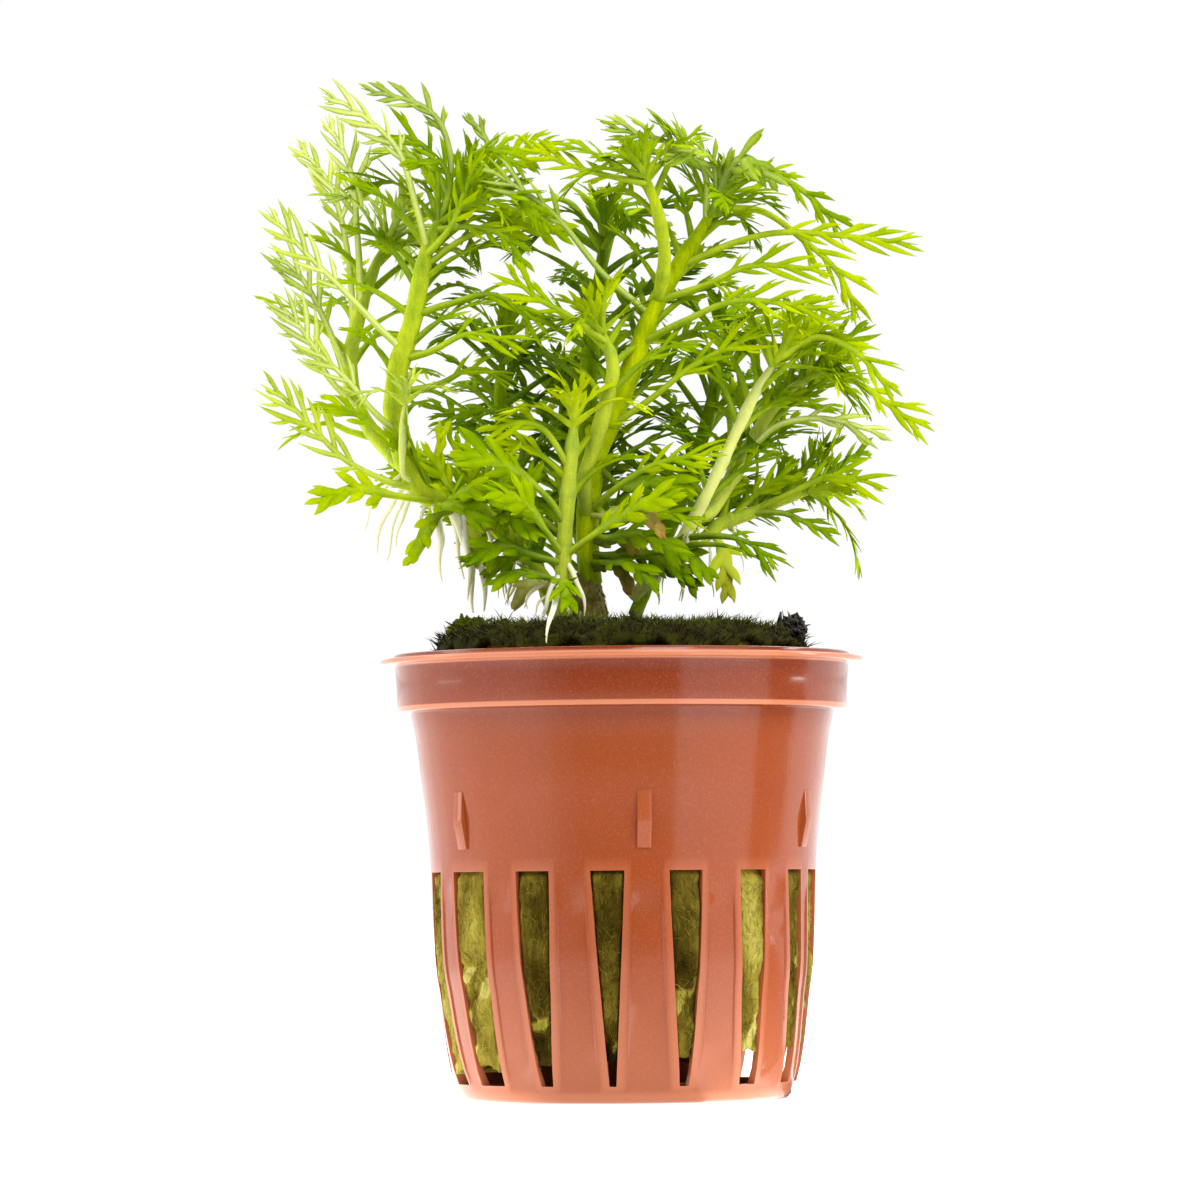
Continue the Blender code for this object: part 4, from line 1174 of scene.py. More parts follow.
STEMS = (
    Stem("stem_left", ((-7.6, 0.5, 57), (-10.6, 0, 61), (-14.7, -1, 65.6), (-19, -2, 67.4), (-22.6, -2.6, 69),
        (-24.5, -3, 72.5), (-25.7, -3, 77), (-25.6, -3, 82.6), (-23.9, -2.6, 88.4), (-22.9, -2, 93.5),
        (-21.6, -1, 98.6), (-18.6, 0, 102.6)), (1, 1.3, 0.8), 16, 12, Tint(0.42), 0.85, 0.05, 0.7,
        (Spray(0.08, 0.36, 20, 10.5, MIDDLE), Spray(0.42, 0.68, 5, 12, MIDDLE),
        Spray(0.72, 0.98, 14, 14.5, MIDDLE))),
    Stem("stem_left_rear", ((-26.3, 0.4, 73.3), (-28.6, 3, 76.2), (-30.5, 5, 79.8), (-31, 6, 84),
        (-30.4, 6.6, 87.4), (-29.3, 7, 91.5), (-27.9, 7, 95.4), (-26.4, 7, 98.4)), (0.8, 0.9, 0.6), 10, 12,
        Tint(0.6, 0.3), 0.8, 0.1, 0.3, (Spray(0.35, 0.95, 10, 14, FRESH),), join=(-24.4, -2.4, 71.6)),
    Stem("shoot_left", ((-24.9, -5.2, 71.2), (-24.9, -6.2, 75.6), (-24.6, -6.8, 79.8)), (0.2, 0.45, 0.4), 5, 7,
        Tint(0.6, 0.3), 0.8, 0.5, 0.6, join=(-23.6, -3.2, 70.2)),
    Stem("stem_centre_pale", ((-6.4, -4.6, 55), (-6.6, -5.4, 60), (-6.3, -6.2, 66), (-5.7, -6.8, 72.7),
        (-5.3, -7.2, 78)), (0.9, 0.9, 0.7), 7, 9, Tint(0.85), 0.85, 0.12, 0.8,
        (Spray(0.35, 0.9, 6, 10, FRESH),)),
    Stem("stem_centre", ((-3.4, 0.5, 58.6), (-3.8, -0.4, 63), (-3.7, -0.9, 68), (-2.7, -1, 73.5),
        (-0.3, -1, 79.1), (2.1, -1, 85.7), (4.1, -0.6, 90.8), (6.4, 0, 94.6), (8.9, 0.5, 98.6),
        (11.6, 1.2, 103.4)), (1.3, 1.2, 0.8), 12, 9, MIDDLE, 0.85, 0, 0.6, (Spray(0.22, 0.6, 8, 15, DARK),
        Spray(0.6, 0.98, 14, 12.5, MIDDLE))),
    Stem("stem_centre_front", ((-4.2, -3.4, 70.2), (-3.1, -4.2, 74.2), (-1.7, -4.6, 79.1), (-0.9, -4.6, 82.7),
        (-1.4, -4.4, 85.6), (-2.5, -4, 88.4)), (0.8, 0.9, 0.6), 9, 9.5, BRIGHT, 0.85, 0.1, 0.8,
        (Spray(0.45, 0.95, 8, 11, FRESH),), join=(-3.9, -1.4, 66.6)),
    Stem("stem_centre_fork", ((4.9, -2.3, 94.6), (4.9, -3, 97.5), (4.1, -3.4, 101.5), (2.6, -3.6, 106)),
        (0.75, 0.75, 0.5), 9, 8.5, FRESH, 0.85, 0.05, 0.4, (Spray(0.45, 0.95, 5, 12, FRESH),),
        join=(4.3, -1.2, 91.2)),
    Stem("stem_rear", ((-3.4, 7.4, 55), (-3.9, 7.8, 66), (-3.8, 8.2, 76), (-3.6, 8.4, 84), (-2.6, 8.4, 91.5),
        (-1.9, 8.4, 99.5)), (1, 1.1, 0.8), 10, 11, Tint(0.3), 0.35, 0, 0.2, (REAR_SPRAY,)),
    Stem("stem_rear_left", ((-7.6, 6.2, 55), (-10.4, 9.6, 63), (-12.8, 12, 72), (-13.8, 13, 79.5),
        (-13.4, 13.2, 86)), (0.8, 0.9, 0.6), 9, 11, Tint(0.3), 0.4, 0, 0.2, (REAR_SPRAY,)),
    Stem("stem_rear_right", ((1.6, 6.6, 55), (5.2, 11, 64), (8.6, 14.4, 73), (10.8, 16.2, 81), (11.8, 17, 87)),
        (0.8, 0.9, 0.6), 9, 11, Tint(0.3), 0.4, 0, 0.2, (REAR_SPRAY,)),
    Stem("stem_back", ((-2.8, 11, 55), (-4.6, 16, 64), (-6.2, 19.6, 73), (-6.8, 21.6, 81)), (0.8, 0.9, 0.6), 9,
        11, Tint(0.3), 0.4, 0, 0.2, (REAR_SPRAY,)),
    Stem("stem_right", ((1.2, -0.4, 57), (3.4, -1.4, 59.2), (6.3, -2.4, 62.6), (9.4, -3, 68), (11.6, -3, 72.5),
        (13.6, -3, 76.8), (15.6, -3, 80.8), (18.6, -2.4, 85.2)), (0.8, 0.68, 0.62), 12, 11, Tint(0.6), 0.95,
        0.6, 0.8, (Spray(0.3, 0.6, 5, 12, DARK), Spray(0.62, 0.98, 12, 12, MIDDLE)), "stem_pale"),
    Stem("stem_right_rear", ((10.4, 0.1, 67.2), (12.4, 1.8, 70.2), (14.6, 2.6, 74), (16.8, 3, 77.6),
        (19.4, 3, 80.6), (22.2, 3, 82.6)), (0.8, 0.95, 0.7), 10, 10, FRESH, 0.85, 0.2, 0.6,
        (Spray(0.25, 0.97, 16, 14, MIDDLE),), join=(9, -2.4, 66.2)),
    Stem("stem_right_low", ((9, 0.8, 63.4), (11.4, 2.2, 65.4), (15.3, 3, 66.8), (18.6, 3.2, 68.2),
        (22.4, 3.2, 69.3)), (0.7, 0.8, 0.5), 9, 9, FRESH, 0.75, 0.1, 0.4,
        (Spray(0.1, 0.97, 16, 11.5, Tint(0.4)),), join=(6.6, -2, 62.6)),
)

LEAVES = {name: Leaf(*values) for name, *values in (
    ("leaf_left_top", "stem_left", 0.88, ((-23.4, -3.8, 101.6), (-25.5, -6, 108.2), (-29.8, -8.4, 112.4),
        (-34.3, -10, 115)), COMB, PALE),
    ("leaf_left_pale_tall", "stem_left_rear", 0.72, ((-30.2, 5.2, 99), (-31, 4.6, 106), (-33.9, 4, 112.2)), COMB,
        PALER),
    ("leaf_left_pale", "stem_left_rear", 0.6, ((-31.2, 9.8, 96), (-33.2, 11.6, 104), (-37.2, 13.6, 109)), COMB,
        PALER),
    ("leaf_left_far", "stem_left", 0.66, ((-27.6, -4.4, 87.8), (-31.6, -6, 92), (-36, -6.6, 96.4),
        (-40.6, -7, 101.4)), COMB, PALE),
    ("leaf_left_upper", "stem_left_rear", 0.42, ((-34.2, 5.2, 89.4), (-36.4, 4.6, 93.4), (-39.6, 4, 96.6)), COMB,
        PALE, 70, 3.6, 0.3),
    ("leaf_left_middle", "stem_left_rear", 0.26, ((-33.6, 3.4, 82.4), (-36, 2, 87), (-39.6, 1, 91.2)), COMB, PALE,
        70, 3.6, 0.3),
    ("leaf_left_comb", "stem_left", 0.37, ((-27, -4.4, 70.4), (-31.6, -5.6, 72.8), (-35.4, -6.6, 76.6),
        (-40.6, -7.6, 82)), COMB, Tint(0.75, 0.2), 70, 4.2, 0.3),
    ("leaf_left_low", "stem_left", 0.32, ((-25.6, -6, 68.6), (-30.2, -9, 69.4), (-35.4, -11, 67.6)), BROAD, BRIGHT,
        60, 3),
    ("leaf_left_front", "stem_left", 0.49, ((-28.6, -6.4, 78.6), (-31.4, -8.4, 82), (-35.8, -10, 86)), COMB, PALE),
    ("leaf_left_behind", "stem_left_rear", 0.12, ((-31, 5.4, 76), (-34, 8, 77), (-38, 10, 75)), COMB, FRESH, 30),
    ("leaf_crown_top", "stem_left", 0.97, ((-19.6, 1.2, 108), (-22.2, 1, 113), (-29.8, 0.4, 115.4)), COMB, PAINTED_SHEEN, 70,
        2.6),
    ("leaf_crown_broad", "stem_left", 0.86, ((-19.4, -5.4, 99.6), (-17.8, -8.6, 103.8), (-16.4, -10.6, 108)), COMB,
        Tint(0.5), 70, 3, 0.3),
    ("leaf_crown_right", "stem_left", 0.84, ((-17.4, -2, 98.4), (-11.6, -2.2, 100), (-5.6, -2.4, 98.4)), BROAD,
        FRESH),
    ("leaf_crown_back", "stem_left", 0.93, ((-19.4, 5.4, 103), (-18, 11, 105.6), (-16, 17, 103)), COMB, MIDDLE, 0),
    ("leaf_inner_upper", "stem_left", 0.735, ((-19.6, -3.6, 90.6), (-14.2, -4, 91.6), (-8.4, -4.4, 87.6)), COMB,
        MIDDLE, 50),
    ("leaf_inner_middle", "stem_left", 0.64, ((-21.6, -4.6, 85.2), (-17.2, -6, 87.2), (-11.8, -7.4, 86)), COMB,
        FRESH, 60),
    ("leaf_inner_low", "stem_left", 0.57, ((-20.8, -1.6, 81.4), (-16.8, -0.6, 83.2), (-12, 0.6, 82)), COMB, MIDDLE,
        45),
    ("leaf_front_upper", "stem_centre_pale", 0.74, ((-8.6, -8, 76), (-11.4, -8.6, 77), (-15.4, -9.2, 76)), BUSHY,
        FRESH, 70, 3),
    ("leaf_front_middle", "stem_centre_pale", 0.46, ((-8.4, -8.4, 68.4), (-12.4, -11, 71.6), (-18.6, -13.4, 74.2)),
        BROAD, MIDDLE, 70, 3.2),
    ("leaf_front_low", "stem_centre_pale", 0.3, ((-8.6, -8.6, 64.6), (-11.2, -12, 68), (-15.2, -15.4, 69.4)), BROAD,
        MIDDLE, 60, 3),
    ("leaf_centre_left", "stem_centre_front", 0.88, ((-6.2, -6.8, 89.4), (-9.8, -8, 91.4), (-13, -9, 94.4)), COMB,
        FRESH),
    ("leaf_long_left", "stem_centre", 0.66, ((-2, -3.4, 94), (-7.2, -4.6, 100.4), (-11.6, -5.2, 103.8),
        (-17, -5.8, 107.2)), COMB, PAINTED_SHEEN, 70, 3.6, 0.5),
    ("leaf_fork_left", "stem_centre_fork", 0.86, ((-2.6, -3.2, 105.6), (-6.8, -3, 106.9), (-11.4, -3, 109.2)), COMB,
        BRIGHT, 70, 3.2, 0.25),
    ("leaf_right_long", "stem_centre", 0.8, ((12.9, -1.2, 97.6), (18.4, -1.6, 98.8), (25.4, -1.6, 98.4),
        (34, -1.6, 97.4)), FEATHER, BRIGHT, 70, 4.2),
    ("leaf_right_hanging", "stem_centre", 0.96, ((16.2, 4.8, 101.2), (21, 7.6, 97.8), (24.8, 10, 94.2),
        (27.4, 12, 88.6)), FEATHER, BRIGHT, 70, 4),
    ("leaf_right_upper", "stem_centre", 0.7, ((9.8, -3.6, 92.8), (15.2, -5, 95), (23.6, -6, 94.4)), FEATHER, FRESH,
        70, 4),
    ("leaf_right_middle", "stem_centre", 0.59, ((7.2, -5.2, 88.6), (14, -9.6, 91), (25.2, -14.4, 89.6)), FEATHER,
        FRESH, 70, 3.8),
    ("leaf_right_inner", "stem_centre", 0.38, ((3.8, -4.4, 80), (8.4, -6.4, 83.6), (16.4, -8.4, 87.6)), FEATHER,
        FRESH),
    # Its pale value is painted sheen.
    ("leaf_top_arching", "stem_centre", 0.93, ((9.4, -1, 106.2), (5.2, -1.4, 109.2), (-1.8, -1.8, 111)), BUSHY,
        Tint(0.48, 0.22), 70, 4.2, 0.25),
    ("leaf_right_top", "stem_centre", 0.985, ((15.6, 2.4, 105.8), (20.8, 3.4, 103.6), (25.4, 4.2, 98.8)), FEATHER,
        MIDDLE),
    ("leaf_far_right_low", "stem_right_rear", 0.42, ((18.2, 0.6, 76.8), (23.6, 0, 77.4), (30.2, -0.8, 75.6)),
        FEATHER, PALE),
    ("leaf_far_right", "stem_right_rear", 0.95, ((26.4, 2.6, 81.8), (30.4, 2.2, 79.2), (34.2, 1.8, 76.2)), FEATHER,
        BRIGHT),
    ("leaf_far_right_upper", "stem_right", 0.97, ((22.6, -4.2, 86.8), (27.4, -7, 84.6), (31.2, -9.8, 80)), FEATHER,
        FRESH),
    ("leaf_front_right", "stem_centre", 0.17, ((-0.4, -5, 69.6), (4.4, -8, 72.4), (11.6, -10.6, 73.6)), BUSHY,
        FRESH, 60),
    ("leaf_right_low", "stem_right_low", 0.55, ((19.2, 0.8, 68.8), (23.8, -0.8, 70.8), (29.4, -1.8, 70)), FEATHER,
        FRESH),
    ("leaf_right_ground", "stem_right", 0.28, ((11.4, -6, 64), (14.6, -7.6, 63.2), (18, -9, 60.6)), COMB, DARK, 50,
        3),
    ("leaf_yellow", "stem_right_low", 0.12, ((11.6, 0.4, 62.4), (12, -0.4, 60.4), (12.1, -0.8, 57)), BROAD, YELLOW,
        90, 2.6, 0.2),
    ("leaf_rear_left", "stem_rear", 0.94, ((-5.6, 10.4, 102), (-9.4, 13.2, 102.4), (-13.4, 16, 100.6)), COMB,
        MIDDLE, 40),
    ("leaf_back_high", "stem_rear", 0.86, ((-0.6, 14, 99.6), (1.4, 20, 101.4), (3.4, 26, 98)), COMB, MIDDLE, 0),
    ("leaf_back_right", "stem_rear_right", 0.8, ((14.6, 20, 86.6), (18.4, 23.6, 88), (23, 27, 84.4)), COMB, MIDDLE,
        20),
)}

SMALL_LEAVES = on_stems(Leaf, (
    ("stem_left", (
        (0.94, ((-21.4, -1.4, 107), (-24.2, -1.8, 109.7), (-26.6, -2, 109.4)), COMB, Tint(0.26), 70, 3.6, 0.5),
        (0.95, ((-19.6, -4, 104.4), (-21, -7, 107), (-24.4, -8.6, 106.6)), BUSHY, Tint(0.34), 70, 3, 0.3),
        (0.985, ((-18, -2, 106.6), (-15, -3.6, 108.4), (-10.8, -4.6, 105.6)), BUSHY, Tint(0.36), 50, 2.8, 0.2),
        (0.99, ((-17.2, 2, 106.4), (-13.4, 4, 108.6), (-9.2, 5, 106)), BUSHY, MIDDLE, 50, 2.8, 0.2),
        (0.95, ((-15.6, -4, 103), (-11.6, -5.6, 103), (-8, -6.4, 98.8)), BUSHY, Tint(0.3), 50, 3, 0.2),
        (0.92, ((-16.8, -3.6, 99.4), (-13, -5.6, 98), (-10.6, -6.6, 94)), BUSHY, MIDDLE, 60, 2.8, 0.2),
        (0.97, ((-21, 3, 105.4), (-25.4, 4.4, 108), (-29.4, 5, 107)), BUSHY, Tint(0.5, 0.2), 40, 2.8, 0.3),
        (0.2, ((-14.6, -5.6, 66), (-12.6, -8, 66.2), (-9.4, -9.4, 63.8)), BROAD, Tint(0.28), 60, 2.8, 0.2),
        (0.24, ((-19.4, -5.4, 68.4), (-16.4, -8, 69.4), (-12.4, -9, 67.6)), BROAD, MIDDLE, 60, 2.8, 0.2),
        (0.3, ((-20.6, -5.8, 67.6), (-18, -7.6, 67.2), (-14.8, -8.6, 65.2)), BROAD, Tint(0.4), 60, 2.2, 0.2),
        (0.98, ((-15.6, 2.6, 106), (-15.4, 4.4, 109.4), (-18, 5, 112.6)), COMB, PAINTED_SHEEN, 70, 2.4, 0.4),
        (0.17, ((-13.6, -4, 63.6), (-15.4, -6.6, 61.6), (-18.6, -8, 61.4)), BROAD, DARK, 45, 2.4, 0.3),
        (0.2, ((-16.6, -4, 68.6), (-17.4, -5.6, 71.8), (-19, -6.4, 75.4)), BUSHY, FRESH, 70, 2.6, 0.25),
        (0.16, ((-13.8, -4.4, 67.2), (-13.6, -6.6, 71), (-12, -7.6, 74.6)), BUSHY, MIDDLE, 70, 2.6, 0.25),
        (0.26, ((-19.6, -5, 69.6), (-21, -7, 73), (-20.2, -8.2, 76.6)), BUSHY, BRIGHT, 70, 2.8, 0.25),
        (0.12, ((-11.4, -3.4, 65.6), (-11, -5.4, 69.4), (-9.4, -6.4, 72.4)), BUSHY, MIDDLE, 70, 2.6, 0.25),
        (0.28, ((-21.4, -4.6, 66), (-22.8, -5.6, 63.4), (-24.4, -6.2, 60.6)), BROAD, FRESH, 80, 1.8, 0.3),
        (0.19, ((-16.8, -3.6, 65), (-16.8, -4.2, 62.6), (-17.2, -4.6, 60)), BROAD, YELLOW, 85, 1.6, 0.1),
        (0.1, ((-10.4, 1.4, 64.6), (-14, 2.4, 65.4), (-18.4, 3, 63)), BROAD, Tint(0.14), 60, 3, 0.2),
        (0.04, ((-9, -2.4, 58.8), (-11, -3.4, 58.2), (-12.2, -4, 55.4)), BROAD, Tint(0.9, 0.8, 0.75), 80, 1.4, 0.1))),
    ("stem_centre", (
        (0.97, ((12.4, -2.8, 106), (14.4, -5.2, 107.2), (18, -7, 104)), BROAD, Tint(0.42, 0.15), 60, 3.2, 0.15),
        (0.98, ((10.6, -2, 106.6), (8.8, -4.4, 108.2), (5, -5.4, 107)), BUSHY, Tint(0.5, 0.2), 60, 3, 0.15),
        (0.12, ((-1.6, -5, 63.8), (2.4, -7.6, 64.2), (8, -9.4, 61.4)), BROAD, DARK, 50, 2.8, 0.3),
        (0.05, ((-1.6, -5, 61), (1, -7.4, 60.8), (4.4, -9.4, 57.8)), BROAD, DARK, 40, 2.6, 0.3),
        (0.2, ((-0.6, -4, 65.4), (3.6, -6, 67), (9.6, -7, 65.4)), BUSHY, MIDDLE, 55, 3, 0.35),
        (0.28, ((0.4, -2.6, 69.6), (4.2, -3.4, 70.4), (8.4, -4, 68.4)), BROAD, Tint(0.3), 55, 3.2, 0.3),
        (0.16, ((-1.4, -4.6, 66.4), (2.2, -9.4, 67.2), (5.2, -11.4, 63.6)), BROAD, DEAD, 75, 1.8, 0.2),
        (0.07, ((-1, -3.4, 61.8), (3.2, -5.4, 61.8), (8.6, -7, 58.8)), BROAD, Tint(0.16), 55, 2.8, 0.2),
        (0.16, ((-1.2, 0.6, 66.4), (3, 1.4, 68), (8, 1.8, 66)), BROAD, Tint(0.1), 60, 3.2, 0.2),
        (0.1, ((-1.8, -2.6, 63.6), (0.8, -4.6, 63.8), (2.6, -5, 60.8)), BROAD, Tint(0, 0, 1), 80, 1.6, 0.1),
        (0.03, ((-2.2, -2.4, 60.8), (-0.2, -4, 60.4), (1.2, -4.6, 57.2)), BROAD, Tint(0, 0, 1), 80, 1.4, 0.1))),
    ("stem_right", (
        (0.12, ((6, -5, 60.6), (8.8, -7, 57.8)), BROAD, DARK, 70, 2.4, 0.2),
        (0.22, ((8.4, -5.6, 63), (12.4, -7.4, 62.8), (17, -8.6, 60.9)), COMB, DARK, 20, 1, 0.5),
        (0.14, ((4.8, -3.4, 61.8), (7.6, -5.4, 61.8), (10.6, -6.6, 58.8)), BROAD, Tint(0.2), 55, 2.8, 0.2),
        (0.2, ((7.6, 0.6, 64.6), (10, 1.4, 68), (14, 2, 70.2)), BUSHY, FRESH, 60, 3, 0.3),
        (0.3, ((9.6, 1, 68), (6.6, 2, 71.4), (2.4, 2.6, 73.6)), BUSHY, MIDDLE, 60, 3.2, 0.3))),
    ("stem_centre_pale", (
        (0.12, ((-6.2, -9.4, 58.8), (-6.4, -12.6, 58.4), (-6.2, -15.4, 55.6)), BROAD, MIDDLE, 75, 2.8, 0.3),
        (0.26, ((-9.4, -7.6, 61.6), (-13.2, -9, 62.8), (-17.4, -10, 61.6)), BROAD, DARK, 50, 2.6),
        (0.16, ((-8.8, -7, 59.4), (-11.8, -8, 59.8), (-15, -9, 58.4)), BROAD, DARK, 40, 2.2, 0.3),
        (0.4, ((-8.6, -5.6, 65.6), (-11.6, -6, 66.8), (-14.4, -6.4, 65)), BROAD, Tint(0.3), 60, 2.8, 0.3),
        (0.2, ((-8.6, -3.4, 61.6), (-12, -4.4, 61.8), (-15.8, -5, 59.2)), BROAD, Tint(0.16), 55, 2.6, 0.2),
        (0.3, ((-2.8, -8, 64.4), (2, -11, 67.6), (7.6, -12.6, 69)), BROAD, FRESH, 60, 2.8, 0.3))),
    ("stem_right_low", (
        (0.5, ((18.6, 1, 66.6), (21.4, -0.6, 65.4), (24.2, -1.6, 64)), COMB, Tint(0.3), 70, 2.8, 0.3),)),
))

ROOTS = on_stems(Root, (
    ("stem_left", (
        (0.1, (0.4, -1.5, -4), 0.34), (0.15, (-0.8, -2, -7), 0.24), (0.18, (0.6, 2, -8.5), 0.22, 0.3),
        (0.22, (1.4, 1.4, -9.2), 0.26), (0.25, (1.8, -3.6, -11.5), 0.56), (0.27, (1.2, -4.4, -10.6), 0.5),
        (0.29, (2.6, -3.4, -12.4), 0.58), (0.33, (0.8, -4, -9.6), 0.44), (0.3, (1.4, 1, -8.6), 0.34),
        (0.26, (0.8, -2.6, -7.4), 0.3), (0.24, (3.6, -1, -9.4), 0.22, 0.4), (0.32, (0.6, 0.8, -6.4), 0.3),
        (0.34, (-1.6, 0.4, -7.4), 0.28), (0.37, (-2.6, -1, -6.8), 0.3, 0.2),
        (0.39, (-4.6, 0.6, -8.4), 0.34, 0.2), (0.41, (-5.4, -1.2, -7), 0.24), (0.38, (-3.4, 1.6, -9), 0.24),
        (0.06, (-1.6, -2, -3.8), 0.2, 0.4), (0.08, (-2.6, -1.4, -4.6), 0.24, 0.3),
        (0.12, (-1.2, -2.6, -6.4), 0.26, 0.2), (0.13, (1, -1, -7.2), 0.24))),
    ("stem_centre_pale", (
        (0.14, (-3.6, -2.2, -3.2), 0.22, 0.5), (0.1, (-2.6, -3, -2.2), 0.2, 0.6),
        (0.28, (2.6, -2.4, -6.6), 0.34), (0.22, (-2.4, -2.6, -6.6), 0.34, 0),
        (0.16, (-1.7, -15.4, -7.4), 0.44, 0), (0.18, (0.6, -2, -4.4), 0.34, 0.2),
        (0.2, (-4.8, -1.4, -3.6), 0.3, 0.3))),
    ("stem_right", (
        (0.16, (-0.8, -1.6, -4.6), 0.3), (0.24, (0.6, 1.8, -6.2), 0.34), (0.34, (-1.2, -1.6, -9.2), 0.26),
        (0.4, (-0.4, 1, -11), 0.24), (0.28, (-2.6, 0.6, -6.4), 0.2, 0.4))),
    ("stem_right_low", (
        (0.2, (0.9, 1.2, -8), 0.26), (0.1, (0.2, -1.4, -7.4), 0.22), (0.3, (1.6, 0.2, -6), 0.18))),
))


class Shoot:
    """A stem's piece as it grows: its stalk, and all that is fused to it, in one skin."""

    STEM, LEAF, ROOT = 0, 1, 2
    STEM_ROWS, STEM_SIDES = 90, 14
    ROOT_ROWS, ROOT_SIDES = 22, 8

    def __init__(self, stem: Stem, seed: int) -> None:
        """Start a stem's piece, with a seed for its small differences."""
        self.stem, self.seed = stem, seed
        self.skin = Skin(LEAF_VALUES)
        self.foliage = Foliage(self.skin, seed)

    def grow(self) -> None:
        """Add the stalk, the crown, the sprays, the small leaves and the roots."""
        self.add_stalk()
        self.add_crown()
        for spray in self.stem.sprays:
            self.add_spray(spray)
        for leaf in SMALL_LEAVES:
            if leaf.stem == self.stem.name:
                self.foliage.add_leaf(self.stem.leaf_curve(leaf), leaf.side(), leaf.cut(SMALL_LOBES, self.LEAF))
        for number, root in enumerate(ROOTS):
            if root.stem == self.stem.name:
                self.add_root(root, number)

    def add_stalk(self) -> None:
        """Add the stem's own tube: its radius follows the stem's, a little thicker at each node.

        A painted highlight value is high along one or two lines down the stem.
        """
        stem, seed = self.stem, self.seed
        shares = np.linspace(0.0, 1.0, self.STEM_ROWS)
        start = () if stem.join is None else (stem.join,)
        places = smooth_curve(VIEW.places((*start, *stem.points)), shares)
        track = Track.through(places, TO_VIEWER, self.STEM_ROWS)
        length = path_length(places)
        nodes = np.exp(-((np.mod(shares * length, 5.5) - 2.75) / 0.6) ** 2)
        radius = stem.radius(shares) * (1.0 + 0.09 * nodes) + 0.04 * np.sin(shares * length * 0.9 + seed)
        radius = radius * np.interp(shares, (0.0, 0.84, 1.0), (1.0, 1.0, 0.35))
        angles = full_turn(self.STEM_SIDES)
        sway = 0.5 * np.sin(shares * 3.0 + seed)[:, None]
        # Painted highlight: a pale line on the same side of every stem.
        streak = np.clip(np.cos(angles - 4.6 + sway), 0.0, 1.0) ** 5 * stem.streak
        tone = stem.tone + 0.1 * np.sin(3 * angles + seed) - 0.12 * nodes[:, None]
        tone = tone - np.interp(shares, (0.75, 1.0), (0.0, 0.25))[:, None]
        # Painted shade: darker near the stem's foot.
        shade = np.interp(shares, (0.0, 0.12), (0.25, 0.0))[:, None]
        pale = stem.pale * np.interp(shares, (0.0, 0.1, 0.85, 1.0), (0.5, 1.0, 0.9, 0.2))[:, None]
        self.skin.add_strip(track, radius, radius, self.STEM_SIDES, self.STEM, tone=tone - shade, pale=pale,
                            streak=streak)

    def add_crown(self) -> None:
        """Add the young leaves of the shoot tip in a spiral: outer ones long and open, inner ones short."""
        stem, chance = self.stem, self.foliage.chance
        for number in range(stem.crown):
            rank = (number + 0.5) / stem.crown
            turn = number * GOLDEN_ANGLE + len(stem.name)
            start, axis, outward = stem.outwards(1.0 - 0.07 * (1.0 - rank), turn)
            length = stem.crown_length * (1.0 - 0.55 * rank) * chance.uniform(0.85, 1.15)
            opening = math.radians(82.0 - 70.0 * rank) + chance.uniform(-0.12, 0.12)
            rise = unit(math.cos(opening) * axis + math.sin(opening) * outward)
            curl = 0.28 * (1.0 - rank)
            points = np.array((start, start + rise * length * 0.35 + axis * 0.08 * length,
                               start + rise * length * 0.7 + axis * 0.08 * length - UP * 0.04 * length,
                               start + rise * length + outward * 0.1 * length - UP * curl * length))
            tint = stem.crown_tint
            tone = tint.tone + 0.22 * (rank - 0.4) + chance.uniform(-0.12, 0.12)
            cut = Cut(YOUNG.value, 0.30 * length + 0.9, 0.22, Tint(tone, tint.pale), self.LEAF)
            self.foliage.add_leaf(points, axis, cut)

    def add_spray(self, spray: Spray) -> None:
        """Add leaves in a spiral along the stem; they rise, spread and droop at their tips.

        One that would stand between the viewer and its stem grows at the stem's back instead, and
        one that would hang from a lying stem rises from it.

        Args:
            spray: The stretch of stem, and the leaves' number and kind.
        """
        stem, chance = self.stem, self.foliage.chance
        for number in range(spray.count):
            share = spray.first + (spray.last - spray.first) * (number + 0.5) / spray.count
            turn = number * GOLDEN_ANGLE + len(stem.name) * 1.7
            start, axis, outward = stem.outwards(share, turn)
            if outward @ TO_VIEWER > 0.45:
                outward = outward - 2.0 * (outward @ TO_VIEWER) * TO_VIEWER
            outward = outward - 2.0 * min(outward @ UP, 0.0) * UP
            length = spray.length * chance.uniform(0.75, 1.15)
            opening = math.radians(chance.uniform(45.0, 68.0))
            rise = unit(math.cos(opening) * axis + math.sin(opening) * outward)
            droop = chance.uniform(0.12, 0.3)
            points = np.array((start, start + rise * length * 0.4,
                               start + rise * length * 0.72 + outward * 0.05 * length - UP * 0.3 * droop * length,
                               start + rise * length * 0.95 + outward * 0.14 * length - UP * droop * length))
            facing = unit(axis + 0.9 * TO_VIEWER * chance.uniform(0.0, 1.0))
            tone = spray.tint.tone + chance.uniform(-0.14, 0.14)
            cut = Cut(spray.form.value, spray.lobe_length, 0.38, Tint(tone, spray.tint.pale), self.LEAF)
            self.foliage.add_leaf(points, facing, cut)

